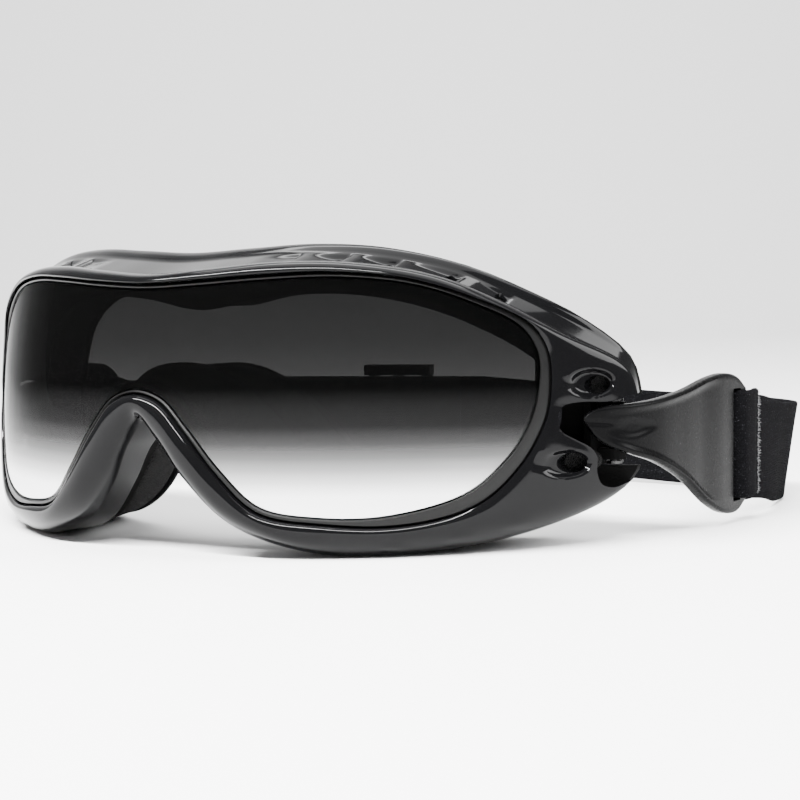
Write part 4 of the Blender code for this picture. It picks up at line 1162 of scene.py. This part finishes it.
@dataclass
class Strap:
    """Elastic webbing: one run from the left loop to the slider, one from there round the right loop."""

    shop: Workshop
    arm: Arm
    width: float = 25.4
    thickness: float = 1.6
    gap: float = 0.3
    loop_length: float = 14.2
    bar_width: float = 3.2
    slider_core: float = 0.7
    slider_length: float = 20.0
    slider_travel: float = 8.0
    path: Table = (
        (96.0, 138.0, -19.7), (94.4, 153.0, -20.4), (84.0, 163.4, -20.4), (66.0, 168.0, -20.2),
        (45.0, 169.8, -19.5), (22.0, 171.4, -18.4), (6.0, 170.8, -17.3), (-29.0, 161.0, -16.5),
        (-68.0, 146.5, -16.5), (-83.0, 138.0, -16.4), (-91.5, 130.0, -16.0),
    )
    slider_point: int = 7
    joint_place: float = -8.0
    tab_back: float = 2.2
    bend_between: Table = ((95.0, 118.0), (80.0, 150.0))
    droop: float = 1.6
    fold: tuple[float, float] = (150.0, 16.0)
    fold_lean: float = 1.8

    def leg(self, length: float, sign: int) -> Points:
        """Centre line of one leg of a loop, from the turn inside the slot back along the arm."""
        place, run, normal = self.arm.end_frame()
        middle = place - normal * self.arm.thickness / 2
        bar = self.arm.slot_width / 2
        front = bar - self.gap - self.thickness / 2
        beside = self.arm.thickness / 2 + self.gap + self.thickness / 2
        behind = bar + self.bar_width
        close = self.thickness / 2 + self.gap / 2
        stations = (
            (front, 0.0), (front - 0.05, beside - 1.2),
            (front + 0.3, beside - 0.1), (bar + 0.3, beside + 0.05),
            (behind + 0.6, beside), (behind + 3.4, close + 0.9), (behind + 5.6, close), (length, close),
        )
        return np.array([middle + a * run + sign * b * normal for a, b in stations])

    def middle_line(self) -> tuple[Points, int]:
        """Line midway between the layers round the back, and where its straight run at the slider begins."""
        place, run, normal = self.arm.end_frame()
        meeting = place - normal * self.arm.thickness / 2 + run * self.loop_length
        path = [np.array(p) for p in self.path]
        centre = path[self.slider_point]
        run_here = (path[self.slider_point + 1] - path[self.slider_point - 1])[:2]
        along_slider = np.array([*(run_here / np.linalg.norm(run_here)), 0.0])
        reach = self.slider_length / 2 + self.slider_travel + 1
        straight = [centre + along_slider * d for d in (-reach - 6, -reach, reach, reach + 6)]
        z = self.arm.strap_z - self.droop
        start = [np.array([*(meeting + run * 0.5), z]), np.array([*(meeting + run * 7.5), z - 0.8])]
        finish = [p * (-1, 1, 1) for p in reversed(start)]
        before = [start[0] * 2 - start[1], *start, *path[:self.slider_point], *straight[:3]]
        beyond = [*straight[1:], *path[self.slider_point + 1:], *finish, finish[1] * 2 - finish[0]]
        first, second = catmull(before, 4), catmull(beyond, 4)
        return np.vstack([first, second]), len(first) - 1

    @staticmethod
    def offset(line: Points, stations: Sequence[tuple[float, float]], first: int = 0) -> Points:
        """Layer whose distance outside the line passes through values at some point numbers."""
        run = headings(line)
        normal = np.column_stack([run[:, 1], -run[:, 0], np.zeros(len(run))])
        level = np.interp(np.arange(first, len(line)), *zip(*stations))
        return line[first:] + normal[first:] * level[:, None]

    def resample(self, path: Points, spacing: float = 1.2) -> Points:
        """Smooth, evenly spaced copy of a path."""
        fine = through(path, 6)
        lengths = lengths_along(fine)
        even = np.linspace(0, lengths[-1], max(3, int(lengths[-1] / spacing) + 1))
        return np.column_stack([np.interp(even, lengths, fine[:, i]) for i in range(3)])

    def section(self) -> Points:
        """Section of the webbing in (outward, height), with rounded selvedges thicker than the middle."""
        half, rise = self.thickness / 2, self.width / 2
        turns = np.radians(np.linspace(0, 180, 7))
        top = [(half * math.cos(t), rise - half + half * math.sin(t)) for t in turns]
        bottom = [(-half * math.cos(t), -rise + half - half * math.sin(t)) for t in turns]
        heights = np.linspace(rise - half, -rise + half, 12)[1:-1]
        flat = [(half * (1 - 0.10 * (1 - (h / rise) ** 4)), h) for h in heights]
        inner = [(-out, h) for out, h in flat]
        return np.array([*top, *inner, *bottom, *flat[::-1]])

    def ribbon(self, name: str, path: Points, mirror: Side = Side.LEFT) -> Piece:
        """Webbing on edge along a path, with a UV map in millimetres.

        Args:
            name: object name.
            path: centre points.
            mirror: side that the drawn path is carried to.

        Returns:
            The webbing object.
        """
        path = self.resample(np.asarray(path, float))
        section = self.section()
        place, reach = self.fold
        rings = []
        for (x, y, z), (run_x, run_y) in zip(path, headings(path)):
            lean = self.fold_lean * math.exp(-((y - place) / reach) ** 2) * float(smoothstep(x, 70, 90))
            out = section[:, 0] + lean * (section[:, 1] / (self.width / 2) - 0.8)
            rings.append(np.column_stack([x + out * run_y, y - out * run_x, z + section[:, 1]]))
        points, faces = loft(rings, onward=False)
        made = self.shop.solid(name, mirrored(points, mirror), faces, sharp=SOFT_SHARP)
        lengths, around = lengths_along(path), lengths_along(section)
        seam = around[-1] + np.linalg.norm(section[0] - section[-1])
        layer = made.data.uv_layers.new(name="UVMap")
        count = len(section)
        for face in made.data.polygons:
            columns = [made.data.loops[i].vertex_index % count for i in face.loop_indices]
            wraps = max(columns) == count - 1 and min(columns) == 0
            for loop, column in zip(face.loop_indices, columns):
                row = made.data.loops[loop].vertex_index // count
                across = seam if wraps and column == 0 else around[column]
                layer.data[loop].uv = (lengths[row], across)
        return made

    def joint(self, line: Points, near: int, outer: Points) -> tuple[int, Points]:
        """Where the two runs meet on the outer layer: the number of the next point, and the place."""
        centre = np.array(self.path[self.slider_point])
        along_slider = line[near + 1] - line[near]
        along_slider /= np.linalg.norm(along_slider)
        reach = (outer - centre) @ along_slider
        cut = near - 3 + int(np.searchsorted(reach[near - 3:near + 5], self.joint_place))
        share = (self.joint_place - reach[cut - 1]) / (reach[cut] - reach[cut - 1])
        return cut, outer[cut - 1] + share * (outer[cut] - outer[cut - 1])

    def build(self) -> list[Piece]:
        """Makes both runs of webbing."""
        line, near = self.middle_line()
        far, last = near + 1, len(line) - 1
        close = self.thickness / 2 + self.gap / 2
        slid = self.slider_core + self.gap + self.thickness / 2
        ends = ((far + 12, close), (last, close))
        outer = self.offset(line, ((0, -close), (6, -close), (near - 4, slid), (far + 4, slid), *ends))
        inner = self.offset(line, ((near, -slid), (far + 4, -slid), (far + 12, -close), (last, -close)), near)
        cut, joint = self.joint(line, near, outer)
        z = self.arm.strap_z
        tab = [(x, y, z) for x, y in self.leg(self.loop_length - self.tab_back, 1)[::-1]]
        leg = self.leg(self.loop_length, -1)
        first, final = leg[[3, -2], 1]
        inside = [(x, y, z - self.droop * smoothstep(y, first, final)) for x, y in leg[1:-1]]
        left = self.ribbon("webbing_left", np.vstack([tab, inside, outer[:cut], joint]))
        flat = [*self.leg(self.loop_length, 1)[1:-1][::-1], *leg[:-1]]
        turn = [(-x, y, z - self.droop * smoothstep(y, first, final)) for x, y in flat]
        right = self.ribbon("webbing_right", np.vstack([joint, outer[cut:], turn, inner[::-1]]))
        for made, side, nodes in (
            (left, Side.LEFT, ("strap", "strap_loop_left")),
            (right, Side.RIGHT, ("strap", "strap_return", "strap_loop_right")),
        ):
            dress(made, WEBBING)
            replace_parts(made, *nodes)
            ends = (self.shop.drawing.vector((side.value * x, y, z)) for x, y in self.bend_between)
            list(ends)
            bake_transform(made)
        return [left, right]


class GrowthTree:
    """Geometry Nodes tree that turns a geometry and some named numbers into painted instances."""

    def __init__(self, name: str, numbers: Sequence[str]) -> None:
        """Starts the tree with its sockets."""
        self.tree = bpy.data.node_groups.new(name, "GeometryNodeTree")
        sockets = self.tree.interface
        sockets.new_socket("Geometry", in_out="INPUT", socket_type="NodeSocketGeometry")
        for number in numbers:
            sockets.new_socket(number, in_out="INPUT", socket_type="NodeSocketFloat")
        sockets.new_socket("Geometry", in_out="OUTPUT", socket_type="NodeSocketGeometry")
        self.start = self.add("NodeGroupInput")

    def add(self, kind: str, **values: float) -> bpy.types.Node:
        """Adds a node and sets inputs by name."""
        node = self.tree.nodes.new(kind)
        for key, value in values.items():
            node.inputs[key].default_value = value
        return node

    def join(self, *links: tuple) -> None:
        """Makes links, each given as a node, its output, the next node and its input."""
        for start, output, end, entry in links:
            self.tree.links.new(start.outputs[output], end.inputs[entry])

    def finish(self, instances: bpy.types.Node, finish: Finish) -> NodeTree:
        """Realizes and paints the instances, and closes the tree."""
        real, painted = self.add("GeometryNodeRealizeInstances"), self.add("GeometryNodeSetMaterial")
        painted.inputs["Material"].default_value = finish.material()
        self.join(
            (instances, "Instances", real, "Geometry"), (real, "Geometry", painted, "Geometry"),
            (painted, "Geometry", self.add("NodeGroupOutput"), "Geometry"),
        )
        return self.tree


@dataclass
class Sewing:
    """Stitches and frayed yarn on the loops, grown with Geometry Nodes."""

    shop: Workshop
    strap: Strap
    stitch_length: float = 2.2
    stitch_thickness: float = 0.28
    pitch: float = 3.0
    rows: tuple[float, ...] = (8.4, 10.6)
    sunk: float = 0.04
    row_margin: float = 2.2
    fray_length: float = 0.9
    fray_count: int = 1500
    yarn_radii: tuple[float, float] = (0.06, 0.02)
    yarn_lean: tuple[float, float, float] = (0.8, 0.8, 3.0)
    scatter_seed: int = 7
    lean_seed: int = 3

    def stitch_tree(self) -> NodeTree:
        """Tree that lays stitches along a line of edges."""
        tree = GrowthTree("stitch_row", ("Pitch", "Length", "Thickness"))
        curve, resample = tree.add("GeometryNodeMeshToCurve"), tree.add("GeometryNodeResampleCurve")
        resample.mode = "LENGTH"
        ball = tree.add("GeometryNodeMeshUVSphere", Segments=10, Rings=6, Radius=0.5)
        size, shape = tree.add("ShaderNodeCombineXYZ"), tree.add("GeometryNodeTransform")
        tangent, turn = tree.add("GeometryNodeInputTangent"), tree.add("FunctionNodeAlignRotationToVector")
        turn.axis = "X"
        lay = tree.add("GeometryNodeInstanceOnPoints")
        tree.join(
            (tree.start, "Geometry", curve, "Mesh"), (curve, "Curve", resample, "Curve"),
            (tree.start, "Pitch", resample, "Length"), (tree.start, "Length", size, "X"),
            (tree.start, "Thickness", size, "Y"), (tree.start, "Thickness", size, "Z"),
            (ball, "Mesh", shape, "Geometry"), (size, "Vector", shape, "Scale"),
            (tangent, "Tangent", turn, "Vector"), (resample, "Curve", lay, "Points"),
            (shape, "Geometry", lay, "Instance"), (turn, "Rotation", lay, "Rotation"),
        )
        return tree.finish(lay, THREAD)

    def fray_tree(self) -> NodeTree:
        """Tree that grows short loose yarns from every face."""
        tree = GrowthTree("frayed_edge", ("Density", "Length"))
        scatter = tree.add("GeometryNodeDistributePointsOnFaces", Seed=self.scatter_seed)
        yarn = tree.add("GeometryNodeMeshCone", Vertices=4)
        for name, radius in zip(("Radius Bottom", "Radius Top"), self.yarn_radii):
            yarn.inputs[name].default_value = radius * MM
        lean = tree.add("FunctionNodeRandomValue")
        lean.data_type = "FLOAT_VECTOR"
        most = Vector(self.yarn_lean)
        for name, value in (("Min", -most), ("Max", most), ("Seed", self.lean_seed)):
            lean.inputs[name].default_value = value
        spin, tilt = tree.add("FunctionNodeEulerToRotation"), tree.add("FunctionNodeRotateRotation")
        lay = tree.add("GeometryNodeInstanceOnPoints")
        tree.join(
            (tree.start, "Geometry", scatter, "Mesh"), (tree.start, "Density", scatter, "Density"),
            (tree.start, "Length", yarn, "Depth"), (lean, 0, spin, "Euler"),
            (scatter, "Rotation", tilt, "Rotation"), (spin, "Rotation", tilt, "Rotate By"),
            (scatter, "Points", lay, "Points"), (yarn, "Mesh", lay, "Instance"),
            (tilt, "Rotation", lay, "Rotation"),
        )
        return tree.finish(lay, FRAY)

    def grow_piece(self, made: Piece, tree: NodeTree, values: dict[str, float]) -> Piece:
        """Runs a tree on an object and keeps the result as its mesh."""
        step = made.modifiers.new("grow", "NODES")
        step.node_group = tree
        for item in tree.interface.items_tree:
            if item.in_out == "INPUT" and item.name in values:
                step[item.identifier] = values[item.name]
        return self.shop.settle(made, SOFT_SHARP)

    def sheet(self, name: str, points: Points, edges: Sequence, faces: Sequence) -> Piece:
        """Open mesh object that a tree grows from."""
        mesh = bpy.data.meshes.new(name)
        mesh.from_pydata(self.shop.drawing.place(points).tolist(), edges, faces)
        return linked(name, mesh)

    def stitch_lines(self, side: Side) -> tuple[Points, list]:
        """Edges of the stitch rows on the outer and inner faces of one loop."""
        arm = self.strap.arm
        place, run, normal = arm.end_frame()
        middle = place - normal * arm.thickness / 2
        out = self.strap.thickness + self.strap.gap / 2 - self.sunk
        rise = self.strap.width / 2 - self.row_margin
        points, edges = [], []
        for row in self.rows:
            for face in (1, -1):
                x, y = middle + row * run + face * out * normal
                edges.append((len(points), len(points) + 1))
                points += [(x, y, arm.strap_z - rise), (x, y, arm.strap_z + rise)]
        return mirrored(np.array(points), side), edges

    def tab_end(self) -> tuple[Piece, float]:
        """Sheet over the cut end of the left tab, facing away from the slot, and its area."""
        strap, z = self.strap, self.strap.arm.strap_z
        end = strap.leg(strap.loop_length - strap.tab_back, 1)[-1]
        _, run, normal = strap.arm.end_frame()
        rise, half = strap.width / 2 - 0.3, strap.thickness / 2 - 0.1
        near, far = (end + run * 0.02 + sign * half * normal for sign in (-1, 1))
        corners = [(*near, z - rise), (*far, z - rise), (*far, z + rise), (*near, z + rise)]
        sheet = self.sheet("tab_fray", np.array(corners), [], [(0, 1, 2, 3)])
        if sheet.data.polygons[0].normal.dot(Vector((*run, 0.0))) < 0:
            sheet.data.flip_normals()
        return sheet, 4 * rise * half * MM**2

    def build(self) -> list[Piece]:
        """Makes the stitches of both loops and the frayed end of the left tab."""
        made = []
        stitches, fray = self.stitch_tree(), self.fray_tree()
        sizes = (("Pitch", self.pitch), ("Length", self.stitch_length), ("Thickness", self.stitch_thickness))
        for side in Side:
            row = self.sheet(f"loop_stitches_{side.word}", *self.stitch_lines(side), [])
            self.grow_piece(row, stitches, {name: size * MM for name, size in sizes})
            made.append(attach(row, side.body))
        edge, area = self.tab_end()
        self.grow_piece(edge, fray, {"Density": self.fray_count / area, "Length": self.fray_length * MM})
        made.append(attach(edge, Side.LEFT.body))
        return made


# ---------------------------------------------------------------- CAD pieces that stay


class KeptPieces:
    """CAD nodes whose shape is right and that only need a finish."""

    FINISHES = {
        "foam_carrier": MATTE, "hinge_pin_left": STEEL, "hinge_pin_right": STEEL, "strap_slider": SATIN,
    }

    def dress(self) -> None:
        """Finishes the carrier, the pins and the slider."""
        for node, finish in self.FINISHES.items():
            paint(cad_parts[node], finish)


# ---------------------------------------------------------------- studio


@dataclass
class Softbox:
    """One rectangular light."""

    name: str
    place: tuple[float, float, float]
    aim: tuple[float, float, float]
    size: tuple[float, float]
    watts: float

    def build(self) -> None:
        """Makes the light."""
        data = bpy.data.lights.new(self.name, "AREA")
        data.shape = "RECTANGLE"
        data.size, data.size_y = self.size
        data.energy = self.watts
        made = linked(self.name, data)
        made.location = self.place
        made.rotation_euler = (Vector(self.aim) - Vector(self.place)).to_track_quat("-Z", "Y").to_euler()


@dataclass
class Studio:
    """Pale sweep, soft lights and the camera."""

    drawing: Drawing
    camera_place: tuple[float, float, float] = (224.379, -279.584, 21.148)
    camera_target: tuple[float, float, float] = (48.0447, 27.5029, -1.1729)
    camera_roll: float = -0.539
    camera_lens: float = 76.28
    sky: float = 0.6
    paper: float = 0.88
    floor: tuple[float, float] = (-3.0, 1.6)
    floor_level: float = -0.0002
    half_width: float = 4.0
    bend: float = 0.8
    wall_top: float = 3.0
    floor_turn: float = 29.865
    boxes: tuple[Softbox, ...] = (
        Softbox("overhead", (0.0, 0.4, 2.0), (0.0, 0.2, 0.0), (2.2, 1.8), 66.0),
        Softbox("wall_wash", (-0.6, 1.3, 2.4), (-1.0, 2.0, 0.4), (2.4, 0.5), 45.0),
        Softbox("crest_strip", (0.0, -0.45, 0.6), (0.0, 0.0, 0.03), (0.9, 0.05), 44.0),
        Softbox("temple_card", (0.75, 0.25, 0.5), (0.09, 0.0, 0.03), (0.5, 0.4), 10.0),
    )

    def build(self) -> None:
        """Makes the sweep, the lights and the camera."""
        self.sweep()
        self.world()
        for box in self.boxes:
            box.build()
        self.camera()

    def sweep(self) -> None:
        """Floor that curves up into a back wall."""
        (front, back), bend = self.floor, self.bend
        turns = np.radians(np.linspace(0, 90, 17))
        profile = [(front, 0.0), (back, 0.0)]
        profile += [(back + bend * math.sin(t), bend - bend * math.cos(t)) for t in turns[1:]]
        profile.append((back + bend, self.wall_top))
        spin = Matrix.Rotation(math.radians(self.floor_turn), 4, "Z")
        sides, drop = (-self.half_width, self.half_width), self.floor_level
        points = [tuple(spin @ Vector((x, y, z + drop))) for y, z in profile for x in sides]
        mesh = bpy.data.meshes.new("studio_sweep")
        faces = [(i, i + 1, i + 3, i + 2) for i in range(0, len(points) - 2, 2)]
        mesh.from_pydata(points, [], faces)
        mesh.shade_smooth()
        made = linked("studio_sweep", mesh)
        nodes = Nodes("studio_paper")
        nodes.set(Base_Color=(*(self.paper,) * 3, 1.0), Roughness=1.0, Specular_IOR_Level=0.0)
        mesh.materials.append(nodes.made)

    def world(self) -> None:
        """Even pale surroundings."""
        world = bpy.data.worlds.new("studio_air")
        world.use_nodes = True
        world.node_tree.nodes["Background"].inputs["Color"].default_value = (*(self.sky,) * 3, 1.0)
        bpy.context.scene.world = world

    def camera(self) -> None:
        """Camera at the viewing angle."""
        data = bpy.data.cameras.new("camera")
        data.sensor_width = 36.0
        data.lens = self.camera_lens
        data.clip_start, data.clip_end = 0.01, 20.0
        made = linked("camera", data)
        place, target = self.drawing.vector(self.camera_place), self.drawing.vector(self.camera_target)
        made.location = place
        roll = Matrix.Rotation(math.radians(self.camera_roll), 3, "Z")
        made.rotation_euler = ((target - place).to_track_quat("-Z", "Y").to_matrix() @ roll).to_euler()
        bpy.context.scene.camera = made


def report(label: str, build: Callable[[], object]) -> None:
    """Builds something and logs it."""
    made = build()
    pieces = made if isinstance(made, list) else [made]
    names = ", ".join(piece.name for piece in pieces if isinstance(piece, Piece))
    LOG.info("%s: %s", label, names or "done")


def main() -> None:
    """Builds every piece in order."""
    logging.basicConfig(level=logging.INFO, format="%(name)s %(message)s")
    drawing = Drawing()
    shop = Workshop(drawing)
    lines = Outlines()
    shield = Shield(shop, lines)
    pad = FacePad(shop, lines)
    arm = Arm(shop)
    strap = Strap(shop, arm)
    report("shell", FrontFrame(shop, lines).build)
    report("lens", shield.build_lens)
    report("gasket", shield.build_gasket)
    report("face pad", pad.build)
    report("vent screens", pad.build_screens)
    for side in Side:
        report(f"{side.word} arm", lambda side=side: arm.build(side))
    report("webbing", strap.build)
    report("sewing", Sewing(shop, strap).build)
    report("kept pieces", KeptPieces().dress)
    report("studio", Studio(drawing).build)


if __name__ == "__main__":
    main()
